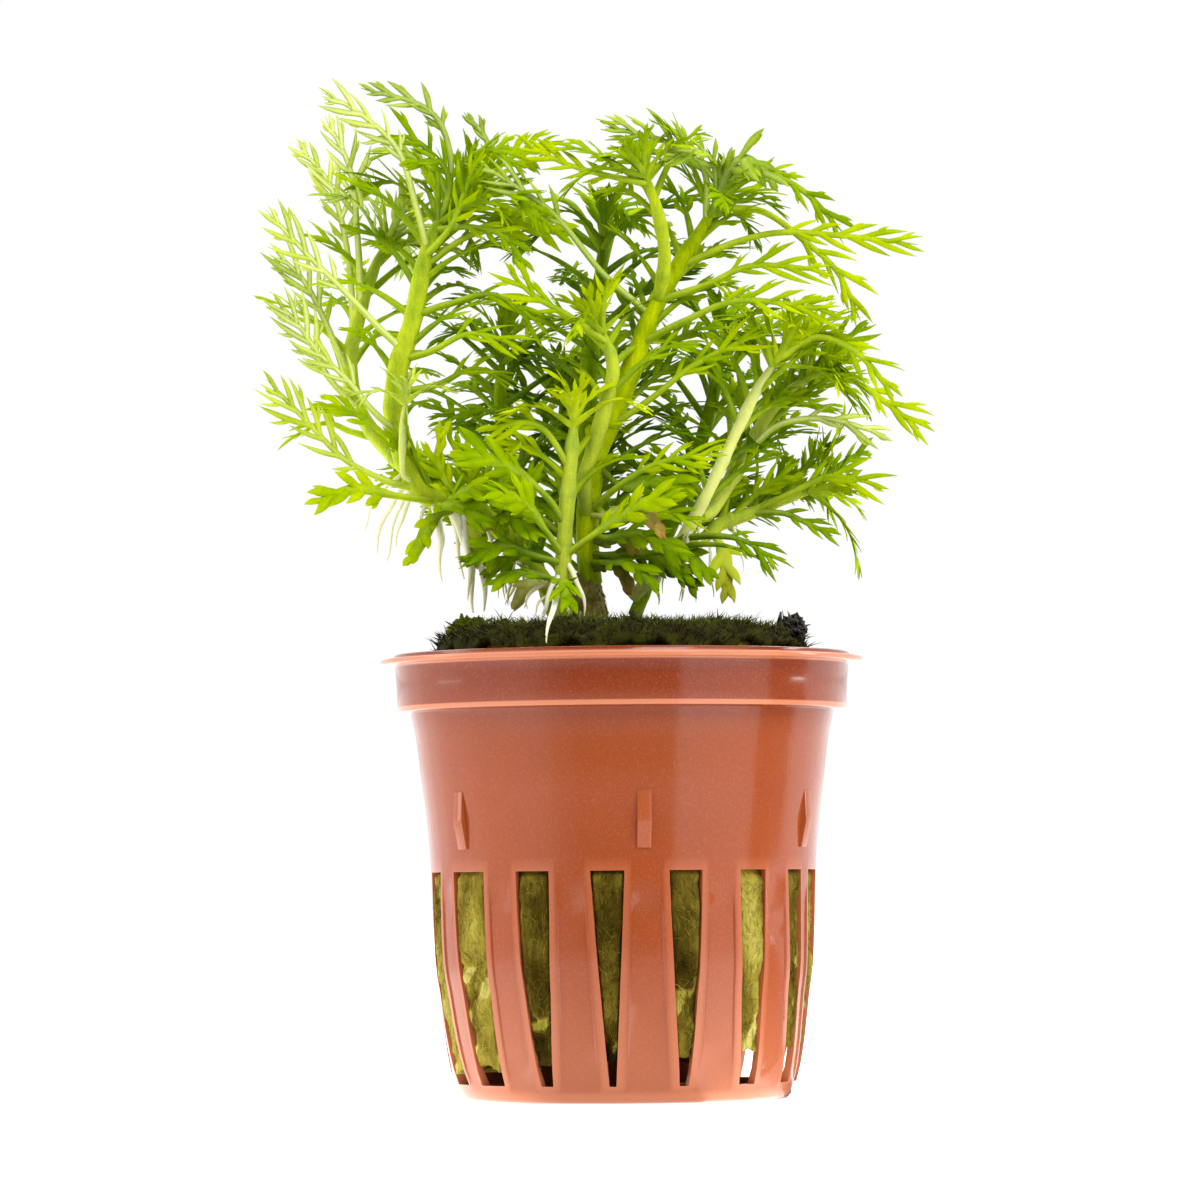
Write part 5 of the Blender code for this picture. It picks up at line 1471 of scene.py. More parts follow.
    def add_root(self, root: Root, seed: int) -> None:
        """Add a hanging root: it leaves the stem sideways, then falls and wavers to a fine tip.

        Args:
            root: The root.
            seed: A number that shifts its waver.
        """
        start = self.stem.curve(np.array((root.at,)))[0]
        drop = np.array(root.drop)
        points = np.array((start, start + drop * (0.45, 0.4, 0.25), start + drop * (0.8, 0.75, 0.6), start + drop))
        track = Track.through(points, TO_VIEWER, self.ROOT_ROWS)
        shares = np.linspace(0.0, 1.0, self.ROOT_ROWS)
        waver = (np.sin(shares * 9.0 + seed) - math.sin(seed)) * 0.22 * shares
        track.places = track.places + track.across * waver[:, None]
        radius = root.radius * np.interp(shares, (0.0, 0.1, 0.7, 1.0), (1.25, 1.0, 0.7, 0.15))
        self.skin.add_strip(track, radius, radius, self.ROOT_SIDES, self.ROOT,
                            dry=root.dry + np.interp(shares, (0.75, 1.0), (0.0, 0.6))[:, None])


class Plant:
    """The stems with their crowns, sprays, small leaves and roots, and the large leaves."""

    SHARP = 65.0
    FIRST_STEM_SEED = 100

    def __init__(self) -> None:
        """Make the plant's finishes."""
        self.leaf_finish = LeafFinish().build()
        self.stem_finish = StemFinish().build()
        self.root_finish = RootFinish().build()
        self.stems = {stem.name: stem for stem in STEMS}

    def grow(self) -> None:
        """Make every leaf and every stem."""
        for seed, (name, leaf) in enumerate(LEAVES.items()):
            self.grow_leaf(name, leaf, seed)
        for seed, stem in enumerate(STEMS, self.FIRST_STEM_SEED):
            self.grow_stem(stem, seed)

    def grow_leaf(self, name: str, leaf: Leaf, seed: int) -> None:
        """Make a large leaf as a piece of its own.

        Args:
            name: Its node.
            leaf: The leaf.
            seed: Seed of its small differences.
        """
        skin = Skin(LEAF_VALUES)
        points = self.stems[leaf.stem].leaf_curve(leaf)
        Foliage(skin, seed).add_leaf(points, leaf.side(), leaf.cut(LARGE_LOBES))
        slot = {YELLOW: "leaf_yellow", PALE: "leaf_pale", PALER: "leaf_pale"}.get(leaf.tint, "leaf_green")
        settle(skin.build(f"{name}_fine", [self.leaf_finish], self.SHARP), slot, name)

    def grow_stem(self, stem: Stem, seed: int) -> None:
        """Make a stem with all that is one piece with it.

        Args:
            stem: The stem.
            seed: Seed of its small differences.
        """
        shoot = Shoot(stem, seed)
        shoot.grow()
        finishes = [self.stem_finish, self.leaf_finish, self.root_finish]
        settle(shoot.skin.build(f"{stem.name}_fine", finishes, self.SHARP), stem.slot, stem.name)


@dataclass
class NetPot:
    """The slotted pot, moulded in one piece. Profiles are (radius, height) pairs."""

    slot_edges: tuple = (
        ((-83.0, -70.4), (-83.0, -71.2), (-75.0, -64.5)),
        ((-60.8, -45.7), (-59.5, -45.4), (-55.6, -43.7)),
        ((-33.4, -22.5), (-32.2, -22.9), (-28.8, -24.4)),
        ((-10.0, 0.1), (-7.8, -1.3), (-5.4, -3.1)),
        ((13.25, 23.4), (14.9, 22.7), (17.8, 21.0)),
        ((36.3, 46.2), (37.7, 46.6), (40.4, 47.5)),
        ((57.2, 65.5), (60.0, 67.5), (63.4, 70.5)),
        ((71.8, 84.0), (74.0, 85.0), (77.5, 87.0)))
    slots: int = 16
    slot_bottom: float = 1.9
    slot_taper: float = 14.0
    slot_top: float = 25.8
    floor: float = 1.2
    drain_inner: float = 7.0
    drain_outer: float = 15.5
    drain_half: float = math.radians(3.5)
    first_drain: float = math.radians(-72.5)
    floor_edge: float = 18.2
    base: tuple = ((17.9, 0.0), (18.5, 0.12), (18.85, 0.45), (19.05, 1.0))
    outside_top: float = 43.2
    inside_top: float = 42.0
    outside: tuple = ((19.05, 1.0), (19.7, 2.6), (20.4, 6.4), (21.07, 12.1), (21.55, 15.85), (21.9, 26.0),
                      (22.1, 29.2), (22.46, 32.8), (23.0, 36.8), (23.5, 41.0), (24.0, 43.4))
    inside: tuple = ((18.35, 1.9), (18.95, 3.2), (19.6, 6.6), (20.3, 12.1), (20.75, 15.85), (21.1, 26.0),
                     (21.3, 29.2), (21.66, 32.8), (22.2, 36.8), (22.8, 41.5))
    rim: tuple = ((24.06, 43.7), (24.12, 43.86), (24.35, 43.95), (25.25, 43.98), (25.45, 44.06), (25.54, 44.25),
                  (25.70, 47.0), (25.84, 49.1), (25.92, 49.24), (26.1, 49.3), (27.25, 49.34), (27.42, 49.42),
                  (27.5, 49.6), (27.48, 49.82), (27.36, 49.94), (27.1, 49.98), (26.3, 49.96), (26.06, 50.02),
                  (25.96, 50.2), (25.92, 50.4), (25.78, 50.5), (25.4, 50.5), (25.2, 50.42), (25.12, 50.2),
                  (24.95, 47.5), (24.8, 45.0), (24.66, 44.75), (24.3, 44.6), (23.3, 44.5), (23.1, 44.2),
                  (22.95, 43.0))
    slot_levels: int = 15
    columns_in_slot: int = 4
    rib_shares: tuple = (0.0, 0.09, 0.17, 0.20, 0.5, 0.80, 0.83, 0.91)
    # Painted highlight across a rib's columns, strongest beside the slots.
    rib_edge_highlight: tuple = (1.0, 0.8, 0.0, 0.0, 0.0, 0.0, 0.0, 0.8)
    panel: tuple = (0.0, 0.0, 0.0, 1.0, 1.0, 1.0, 0.0, 0.0)
    panel_depth: float = 0.18
    panel_bottom: float = 2.6
    panel_top: float = 23.0
    catches: int = 6
    first_catch: float = math.radians(5.8)
    catch_width: float = 1.55
    catch_profile: tuple = ((28.3, -0.5), (28.3, 0.19), (28.5, 0.26), (31.1, 0.58), (31.5, 0.59), (31.9, 0.53),
                            (34.7, 0.07), (34.9, -0.5))

    def wall(self, profile: tuple, height: Array) -> Array:
        """Radii of a smooth wall through a profile's pairs, at heights."""
        curve = smooth_curve(np.array(profile), np.linspace(0.0, 1.0, 200))
        return np.interp(height, curve[:, 1], curve[:, 0])

    def slot_angles(self, height: Array) -> Array:
        """Angles of both edges of each slot at heights, with the slots and the two edges as last axes.

        Each edge is a quadratic curve through its angle at the slot's bottom, taper and top. The
        front half's slots are given, and the back half's are the same, turned half round.

        Args:
            height: Heights above the base.

        Returns:
            The angles, with the heights' own axes first.
        """
        levels = (self.slot_bottom, self.slot_taper, self.slot_top)
        given = np.array(self.slot_edges)[:, ::-1].transpose(1, 0, 2).reshape(3, -1)
        curves = np.polyfit(levels, np.radians(given) - math.pi / 2, 2)
        level = np.clip(height, self.slot_bottom, self.slot_top)[..., None]
        front = (curves[0] * level**2 + curves[1] * level + curves[2]).reshape(*np.shape(height), -1, 2)
        return np.concatenate((front, front + math.pi), axis=-2)

    def drain_angles(self) -> Array:
        """Angles of both edges of each evenly spaced place where the floor may have a drain."""
        middles = self.first_drain - math.pi / 2 + full_turn(self.slots)
        return np.stack((middles - self.drain_half, middles + self.drain_half), axis=1)

    def slot_share(self, angles: Array, heights: Array) -> Array:
        """How far places lie from the middle of the nearest slot.

        Args:
            angles: The places' angles.
            heights: Their heights.

        Returns:
            0 at the middle, 1 at the slot's edges and more outside.
        """
        edges = self.slot_angles(heights)
        middle, half = edges.mean(axis=-1), (edges[..., 1] - edges[..., 0]) / 2
        away = np.abs(np.mod(np.asarray(angles)[..., None] - middle + math.pi, math.tau) - math.pi)
        return (away / half).min(axis=-1)

    def rings(self) -> tuple[Array, Array, Array]:
        """The profile's pairs from the base's middle, up the outside and down the inside to the floor.

        Returns:
            The pairs, and the numbers of the outer and of the inner rings that a slot cuts, both
            from its bottom to its top.
        """
        levels = np.linspace(self.slot_bottom, self.slot_top, self.slot_levels)
        up = np.append(levels, np.linspace(self.slot_top, self.outside_top, 12)[1:])
        above = np.linspace(self.inside_top, self.slot_top, 10)[:-1]
        down = np.append(above, levels[::-1])
        base = [(self.drain_inner, 0.0), (self.drain_outer, 0.0), *self.base]
        outer = np.vstack((base, np.stack((self.wall(self.outside, up), up), axis=1)))
        floor = [(radius, self.floor) for radius in (self.floor_edge, self.drain_outer, self.drain_inner)]
        inner = np.vstack((np.stack((self.wall(self.inside, down), down), axis=1), floor))
        first_inner = len(outer) + len(self.rim) + len(above)
        number = np.arange(self.slot_levels)
        return np.vstack((outer, self.rim, inner)), len(base) + number, first_inner + number[::-1]

    def each_column(self, in_slot: float, in_rib: tuple) -> Array:
        """A value for every column of the pot: one for a slot's columns, and others across a rib."""
        return np.tile(np.concatenate((np.full(self.columns_in_slot, in_slot), in_rib)), self.slots)

    def grid(self, pairs: Array, outer: Array) -> tuple[Array, Array]:
        """Points of the shell in rings and columns, and how near each lies to a slot's edge.

        Columns run up the pot. A slot's columns spread over its angle and a rib's up to the next
        slot, so both follow the slots' taper. A rib's middle columns are a shallow panel, sunk
        into the outside between two heights.

        Args:
            pairs: A (radius, height) pair for each ring.
            outer: Numbers of the outer rings that a slot cuts.

        Returns:
            Points as (rings, columns, 3), and edge values from 0 to 1, which place the painted slot-edge highlight.
        """
        in_floor = (pairs[:, 0] <= self.drain_outer)[:, None, None]
        edges = np.where(in_floor, self.drain_angles(), self.slot_angles(pairs[:, 1]))
        left, right = edges[..., :1], edges[..., 1:]
        after = np.roll(left, -1, axis=1)
        after[:, -1] += math.tau
        in_slot = np.arange(self.columns_in_slot) / self.columns_in_slot
        angles = (left + (right - left) * in_slot, right + (after - right) * np.array(self.rib_shares))
        angles = np.concatenate(angles, axis=2).reshape(len(pairs), -1)
        height = np.broadcast_to(pairs[:, 1:], angles.shape)
        ring = np.arange(len(pairs))[:, None]
        sunk = (ring >= outer[0]) & (ring <= outer[-1]) & (height > self.panel_bottom) & (height < self.panel_top)
        radius = pairs[:, :1] - self.panel_depth * sunk * self.each_column(0.0, self.panel)
        # Painted highlight along the slots' edges: strongest at their bottom, a little less at their top, and gone
        # just past both.
        near = np.interp(height, (self.slot_bottom - 0.6, self.slot_bottom, self.slot_top, self.slot_top + 0.3),
                         (0.0, 1.0, 0.7, 0.0))
        return round_axis(radius, angles, height), near * self.each_column(1.0, self.rib_edge_highlight)

    def faces(self, outer: Array, inner: Array, rings: int, columns: int) -> tuple[Array, Array]:
        """Faces between the rings and the columns.

        Quads inside a slot or drain are left out, and its four sides join the outer and the inner
        wall. A fan closes the first ring round a point after the last, and one more the last ring.

        Args:
            outer: Numbers of the outer rings that a slot cuts, from its bottom to its top.
            inner: Numbers of the inner rings that a slot cuts, likewise.
            rings: Number of rings.
            columns: Number of columns.

        Returns:
            The quads, and the triangles of the two fans.
        """
        index = np.arange(rings * columns).reshape(rings, columns)
        beside = np.roll(index, -1, axis=1)
        part, number = np.divmod(np.arange(columns), columns // self.slots)
        slot_column = number < self.columns_in_slot
        drain_column = slot_column & (part % 2 == 0)
        ring = np.arange(rings - 1)[:, None]
        slot_ring = np.isin(ring, outer[:-1]) | np.isin(ring, inner[1:])
        drain_ring = (ring == 0) | (ring == rings - 2)
        kept = ~((slot_ring & slot_column) | (drain_ring & drain_column))
        quads = [np.stack((index[:-1], beside[:-1], beside[1:], index[1:]), axis=-1)[kept]]
        for first, second, cut in ((outer, inner, slot_column), ([0, 1], [rings - 1, rings - 2], drain_column)):
            out, into = index[first], index[second]
            starts, stops = np.flatnonzero(cut & ~np.roll(cut, 1)), np.flatnonzero(cut & ~np.roll(cut, -1)) + 1
            for edge in (starts, stops % columns):
                corners = (out[:-1, edge], out[1:, edge], into[1:, edge], into[:-1, edge])
                quads.append(np.stack(corners, axis=-1).reshape(-1, 4))
            for end in (0, -1):
                corners = (out[end], np.roll(out[end], -1), np.roll(into[end], -1), into[end])
                quads.append(np.stack(corners, axis=-1)[cut])
        fans = [np.stack((np.full(columns, index.size + end), index[-end], beside[-end]), axis=-1)
                for end in (0, 1)]
        return np.vstack(quads), np.vstack(fans)

    def shell(self) -> bpy.types.Mesh:
        """Make the mesh of the pot without its catches.

        Returns:
            The mesh. It carries the edge values of the painted slot-edge highlight.
        """
        pairs, outer, inner = self.rings()
        points, edge = self.grid(pairs, outer)
        quads, fans = self.faces(outer, inner, *edge.shape)
        points = np.vstack((points.reshape(-1, 3), (UP * 0.0, UP * self.floor)))
        mesh = bpy.data.meshes.new("net_pot_fine")
        mesh.from_pydata((points * MILLIMETRE).tolist(), [], [*quads.tolist(), *fans.tolist()])
        layer = mesh.attributes.new("edge", "FLOAT", "POINT")
        layer.data.foreach_set("value", np.append(edge, (0.0, 0.0)).astype(np.float32))
        edit = bmesh.new()
        edit.from_mesh(mesh)
        bmesh.ops.recalc_face_normals(edit, faces=edit.faces)
        edit.to_mesh(mesh)
        edit.free()
        mesh.shade_smooth()
        mesh.set_sharp_from_angle(angle=math.radians(40))
        return mesh

    def catch_rings(self) -> Array:
        """The catches as tubes across their width: their side profile, drawn in at both sides.

        Returns:
            Points as (catches, rows across, points of the profile, 3).
        """
        heights, proud = np.array(self.catch_profile).T
        steps = np.array((-0.5, -0.5, -0.42, 0.42, 0.5, 0.5)) * self.catch_width
        draw = np.array((0.12, 0.04, 0.0, 0.0, 0.04, 0.12))
        outward = round_axis(1.0, self.first_catch - math.pi / 2 + full_turn(self.catches), 0.0)[:, None, None]
        radius = self.wall(self.outside, heights) + proud - draw[:, None]
        return (outward * radius[..., None] + np.cross(UP, outward) * steps[:, None, None]
                + UP * heights[:, None])

    def build(self) -> None:
        """Make the pot: its shell with small rounded edges, and its catches."""
        finish = PotFinish().build()
        mesh = self.shell()
        mesh.materials.append(finish)
        pot = placed("net_pot_fine", mesh)
        rounding = pot.modifiers.new("rounding", "BEVEL")
        rounding.width = 0.14 * MILLIMETRE
        rounding.segments = 2
        rounding.limit_method = "ANGLE"
        rounding.angle_limit = math.radians(50)
        rounding.harden_normals = False
        settle(pot, "pot_plastic", "net_pot")
        skin = Skin(("edge",))
        # Half the painted slot-edge highlight all over the catches.
        skin.add_rings(self.catch_rings(), edge=0.5)
        catches = skin.build("pot_catches", [finish])
        catches.data.set_sharp_from_angle(angle=math.radians(30))
        settle(catches, "pot_plastic")


@dataclass
class WoolPlug:
    """The rock-wool plug: lumpy, bulging into the pot's slots, with loose fibres on its side."""

    pot: NetPot
    bottom: float = 4.7
    top: float = 52.0
    rows: int = 110
    around: int = 400
    fibres: int = 3500
    fibre_radius: float = 0.024
    slope: float = 1.3
    tones: tuple = ((-90, 0.66), (-77, 0.66), (-53, 0.72), (-40, 0.45), (-28, 0.22), (-5, 0.20), (18, 0.28),
                    (30, 0.45), (41, 0.66), (62, 0.42), (78, 0.66), (90, 0.66))

    def surface(self, angles: Array, heights: Array) -> Array:
        """Radii of the side: pressed against the wall, swelling in the slots, with lumps and folds.

        Args:
            angles: Angles round the plug.
            heights: Heights above the pot's base.

        Returns:
            A radius for each.
        """
        inner = np.minimum(self.pot.wall(self.pot.inside, heights) - 0.15, 21.0)
        share = self.pot.slot_share(angles, heights)
        level = (heights > self.pot.slot_bottom) & (heights < self.pot.slot_top)
        swell = np.clip(1.0 - share**16, 0.0, 1.0) * level
        swell = swell * np.clip((self.pot.slot_top - heights) / 0.5, 0.0, 1.0)
        places = round_axis(21.0, angles, heights)
        lumps = 0.35 * waves(places, 5.0, 3) + 0.16 * waves(places, 1.6, 4) + 0.07 * waves(places, 0.7, 5)
        tucked = 1.3 * np.clip((heights - 48.0) / 2.0, 0.0, 1.0)
        return inner + 0.78 * swell + np.minimum(lumps * (0.4 + 0.6 * swell), 0.12) - tucked

    def tone(self, angles: Array, places: Array) -> Array:
        """How light the wool is: given round the front half, the same behind, and in patches.

        Args:
            angles: The places' angles.
            places: The places.

        Returns:
            Tones, from dark 0 to light 1.
        """
        turn, light = np.array(self.tones, float).T
        front = np.mod(np.degrees(angles) + 180.0, 180.0) - 90.0
        base = np.interp(front, turn, light)
        spots = 0.45 * (waves(places, 3.4, 13) > 0.75) * (places[..., 2] < 16.0)
        return base + 0.16 * waves(places * (1.0, 1.0, 0.5), 4.0, 12) + spots

    def build(self) -> None:
        """Make the plug's body and its loose fibres as one piece."""
        skin = Skin(("tone",))
        angles = full_turn(self.around)
        heights = np.linspace(self.bottom, self.top - 0.9, self.rows)
        angle_grid, height_grid = np.meshgrid(angles, heights)
        foot = np.clip(1.0 - (height_grid - self.bottom) / 6.0, 0.0, 1.0)
        height_grid = height_grid + self.slope * np.cos(angle_grid) * foot
        radius = self.surface(angle_grid, height_grid)
        side = round_axis(radius, angle_grid, height_grid)
        ragged = 0.8 * waves(side[0], 4.0, 9) + 0.3 * waves(side[0], 1.2, 10)
        under = side[:1] * (0.93, 0.93, 1.0) + UP * (0.6 + ragged[None, :, None])
        side[0] += UP * ragged[:, None] * 0.5
        shoulder = side[-1:] * (0.985, 0.985, 1.0) + UP * 0.6
        crest = side[-1:] * (0.955, 0.955, 1.0) + UP * 0.9
        flat = side[-1:] * (0.6, 0.6, 1.0) + UP * 0.85
        rings = np.concatenate((under * (0.6, 0.6, 1.0), under, side, shoulder, crest, flat))[None]
        tone = self.tone(angles, rings[0])
        skin.add_rings(rings, UP * (self.bottom + 0.8), UP * self.top, tone=tone)
        self.add_fibres(skin)
        settle(skin.build("rockwool_plug_fine", [WoolFinish().build()]), "rock_wool", "rockwool_plug")

    def add_fibres(self, skin: Skin) -> None:
        """Add thin fibres that lie on the plug's side or stand off it in the slots.

        Args:
            skin: The mesh to add them to.
        """
        chance = np.random.default_rng(21)
        count = self.fibres
        height = chance.uniform(self.bottom + 0.5, self.pot.slot_top - 1.5, count)
        edges = self.pot.slot_angles(height)[np.arange(count), chance.integers(0, self.pot.slots, count)]
        angle = edges[:, 0] + (edges[:, 1] - edges[:, 0]) * chance.uniform(0.1, 0.9, count)
        run = np.linspace(0.0, 1.0, 4)
        lean = chance.normal(0.0, 1.0, count)
        length = chance.uniform(0.5, 2.0, count)
        bend = chance.uniform(-1.4, 1.4, count)
        turn = lean[:, None] + bend[:, None] * run
        step = length[:, None] / 3
        angles = angle[:, None] + np.cumsum(np.sin(turn) * step, axis=1) / 21.5
        heights = height[:, None] + np.cumsum(np.cos(turn) * step, axis=1)
        heights = np.clip(heights, self.bottom + 0.2, self.pot.slot_top - 0.4)
        proud = 0.02 + 0.10 * np.sin(math.pi * run) * chance.uniform(0.0, 1.6, count)[:, None]
        radius = np.minimum(self.surface(angles, heights), self.pot.wall(self.pot.outside, heights) - 0.05) + proud
        places = round_axis(radius, angles, heights)
        along = unit(np.gradient(places, axis=1))
        outward = unit(places * (1.0, 1.0, 0.0))
        track = Track(places, along, unit(np.cross(along, outward)), outward)
        tone = self.tone(angle, places[:, 0]) + chance.uniform(-0.1, 0.4, count)
        skin.add_strip(track, self.fibre_radius, self.fibre_radius, 3, tone=tone[:, None, None])


@dataclass
class MossMat:
    """The mat of moss and algae on the plug: a bumpy cushion with short blades and fine pale hairs."""

    radius: float = 21.2
    base: float = 50.6
    crest: float = 53.7
    around: int = 160
    rings: int = 40
    blades: int = 6500
    hairs: int = 700

    def top(self, places: Array) -> Array:
        """Height of the cushion: rounded down at its edge and lumpy elsewhere.

        Args:
            places: Places whose x and y are read.

        Returns:
            A height for each.
        """
        out = np.hypot(places[..., 0], places[..., 1]) / self.radius
        places = places * (1.0, 1.0, 0.0)
        lumps = 0.45 * waves(places, 5.0, 31) + 0.34 * waves(places, 1.9, 32) + 0.12 * waves(places, 0.8, 33)
        dome = np.clip(1.0 - out**9, 0.0, 1.0) ** 0.5
        return self.base + (self.crest - self.base) * dome * (0.93 + 0.28 * lumps)

    def build(self) -> None:
        """Make the mat as one piece: cushion, blades and hairs."""
        skin = Skin(("tone", "pale"))
        angles = full_turn(self.around)
        share = np.sin(np.linspace(0.02, 1.0, self.rings) * math.pi / 2)
        edge = self.radius + 0.35 * waves(round_axis(20.0, angles, 0.0), 4.0, 35)
        cushion = round_axis(share[:, None] * edge, angles, 0.0)
        cushion[..., 2] = self.top(cushion)
        below = cushion[-1:] * (0.985, 0.985, 1.0) - UP * 0.6
        rings = np.concatenate((cushion, below, below * (0.3, 0.3, 1.0)))[None]
        skin.add_rings(rings, UP * self.top(np.zeros(3)), UP * (self.base - 0.4), tone=0.1)
        self.add_blades(skin, self.blades, 0.3, 1.5, 0.08, 0.05, 41)
        self.add_blades(skin, self.hairs, 0.7, 1.9, 0.03, 0.5, 42)
        settle(skin.build("moss_mat_fine", [MossFinish().build()]), "moss", "moss_mat")

    def add_blades(self, skin: Skin, count: int, shortest: float, longest: float, width: float, pale: float,
                   seed: int) -> None:
        """Add upright blades or hairs, strewn evenly over the mat and leaning at random.

        Args:
            skin: The mesh to add them to.
            count: Number of blades.
            shortest: Length of the shortest.
            longest: Length of the longest.
            width: Half width at the foot.
            pale: How pale their tips are.
            seed: Seed of their places and differences.
        """
        chance = np.random.default_rng(seed)
        away = self.radius * np.sqrt(chance.uniform(0.0, 1.0, count))
        turn = chance.uniform(0.0, math.tau, count)
        foot = round_axis(away, turn, 0.0)
        foot[:, 2] = self.top(foot) - 0.15
        lean = chance.normal(0.0, 0.7, (count, 2)) + foot[:, :2] / self.radius * 0.5
        length = chance.uniform(shortest, longest, count)[:, None, None]
        run = np.linspace(0.0, 1.0, 4)[:, None]
        reach = np.concatenate((lean, np.ones((count, 1))), axis=1)[:, None]
        places = foot[:, None] + unit(reach) * run * length
        places[..., :2] += lean[:, None] * 0.25 * run**2 * length
        taper = np.array((1.0, 0.9, 0.6, 0.1)) * width
        tone = 0.25 + chance.uniform(-0.3, 0.6, count) + 0.45 * waves(foot, 4.0, seed)
        high = np.clip((places[..., 2:] - self.base - 1.6) / 2.6, 0.0, 1.0)
        skin.add_strip(Track.over(places, TO_VIEWER), taper, taper * 0.6, 3, pale=pale * run,
                       tone=(tone[:, None, None] + 0.4 * run) * high)


@dataclass(frozen=True)
class Lump:
    """A jagged lump on the plug, at an angle from the right-hand side, anticlockwise from above."""

    name: str
    angle: float
    radius: float
    size: Place
    height: float
    seed: int
    mossy: bool = False
    shards: int = 70
    knobs: int = 16
    rows: int = 40
    around: int = 64

    def build(self, finish: bpy.types.Material) -> None:
        """Make the lump: a ball pushed in and out along ridges, with small knobs and shards on it.

        Args:
            finish: Its material.
        """
        middle = round_axis(self.radius, np.array(self.angle), self.height)
        skin = Skin(("tone",))
        chance = np.random.default_rng(self.seed)
        balls = [(middle, np.array(self.size))]
        for _ in range(self.knobs):
            centre = middle + unit(chance.normal(size=3)) * self.size * 0.8
            balls.append((centre, np.array(self.size) * chance.uniform(0.16, 0.4)))
        for number, (centre, size) in enumerate(balls):
            coarse = 1 if number == 0 else 4
            shape = ball(self.rows // coarse, self.around // coarse, 0.08)
            ridges = (1.0 - 0.34 * np.abs(waves(shape * 2.0 + number, 1.6, self.seed))
                      + 0.12 * waves(shape * 2.0 + number, 0.5, self.seed + 1))
            skin.add_rings((centre + shape * ridges[..., None] * size)[None], tone=0.5)
        self.add_shards(skin, middle, chance)
        settle(skin.build(f"{self.name}_fine", [finish]), "dark_matter", self.name)

    def add_shards(self, skin: Skin, middle: Array, chance: np.random.Generator) -> None:
        """Add thin crooked flakes that stand out of the lump to all sides but downwards.

        Args:
            skin: The mesh to add them to.
            middle: The lump's middle.
            chance: Where their differences come from.
        """
        away = unit(chance.normal(size=(self.shards, 3)) * (1.0, 1.0, 0.8) + UP * 0.4)[:, None]
        run = np.linspace(0.0, 1.0, 4)[:, None]
        bend = chance.normal(size=(self.shards, 1, 3)) * 0.5
        reach = (0.7 + chance.uniform(0.1, 0.5, self.shards)[:, None, None] * run) * self.size
        places = middle + away * reach + bend * run**2
        track = Track.over(places, unit(chance.normal(size=(self.shards, 1, 3))))
        width = np.array((0.9, 1.0, 0.8, 0.3)) * chance.uniform(0.2, 0.6, self.shards)[:, None]
        skin.add_strip(track, width, width * 0.25, 4, tone=chance.uniform(0.3, 1.0, self.shards)[:, None, None])


LUMPS = (
    Lump("black_lump", math.radians(-12.0), 19.7, (1.7, 2.4, 1.7), 52.9, 51),
    Lump("dark_crumbs", math.radians(196.0), 17.9, (2.6, 2.9, 1.5), 53.1, 54, True),
)


@dataclass
class RootStock:
    """The knot that the stems grow from: a fibrous lump with strands and dead leaf scraps round it."""

    middle: Place = (-4.8, 0.8, 56.2)
    size: Place = (2.9, 3.0, 3.6)
    strands: int = 120
    rows: int = 36
    around: int = 48
    lowest: float = 53.6

    def build(self) -> None:
        """Make the knot and its strands as one piece."""
        skin = Skin(("tone",))
        middle, size = np.array(self.middle), np.array(self.size)
        shape = ball(self.rows, self.around, 0.06)
        swell = 1.0 + 0.14 * waves(shape * 3.0, 1.4, 61) + 0.05 * waves(shape * 3.0, 0.5, 62)
        skin.add_rings((middle + shape * swell[..., None] * size)[None], tone=0.5)
        chance = np.random.default_rng(63)
        start = middle + unit(chance.normal(size=(self.strands, 3))) * size * 0.85
        outward = unit((start - middle) * (1.0, 1.0, 0.15))
        run = np.linspace(0.0, 1.0, 8)[:, None]
        length = chance.uniform(1.2, 4.2, self.strands)[:, None, None]
        fall = chance.uniform(0.3, 1.0, self.strands)[:, None, None]
        places = start[:, None] + outward[:, None] * run * length * 0.3 - UP * fall * run**1.4 * length * 0.9
        places += 0.25 * waves(places, 2.0, 64)[..., None]
        places[..., 2] = np.maximum(places[..., 2], self.lowest)
        taper = np.interp(run[:, 0], (0.0, 1.0), (1.0, 0.3)) * chance.uniform(0.07, 0.2, self.strands)[:, None]
        tone = chance.uniform(0.1, 1.0, self.strands)[:, None, None]
        skin.add_strip(Track.over(places, TO_VIEWER), taper, taper, 5, tone=tone)
        settle(skin.build("rootstock_fine", [BarkFinish().build()]), "root_brown", "rootstock")


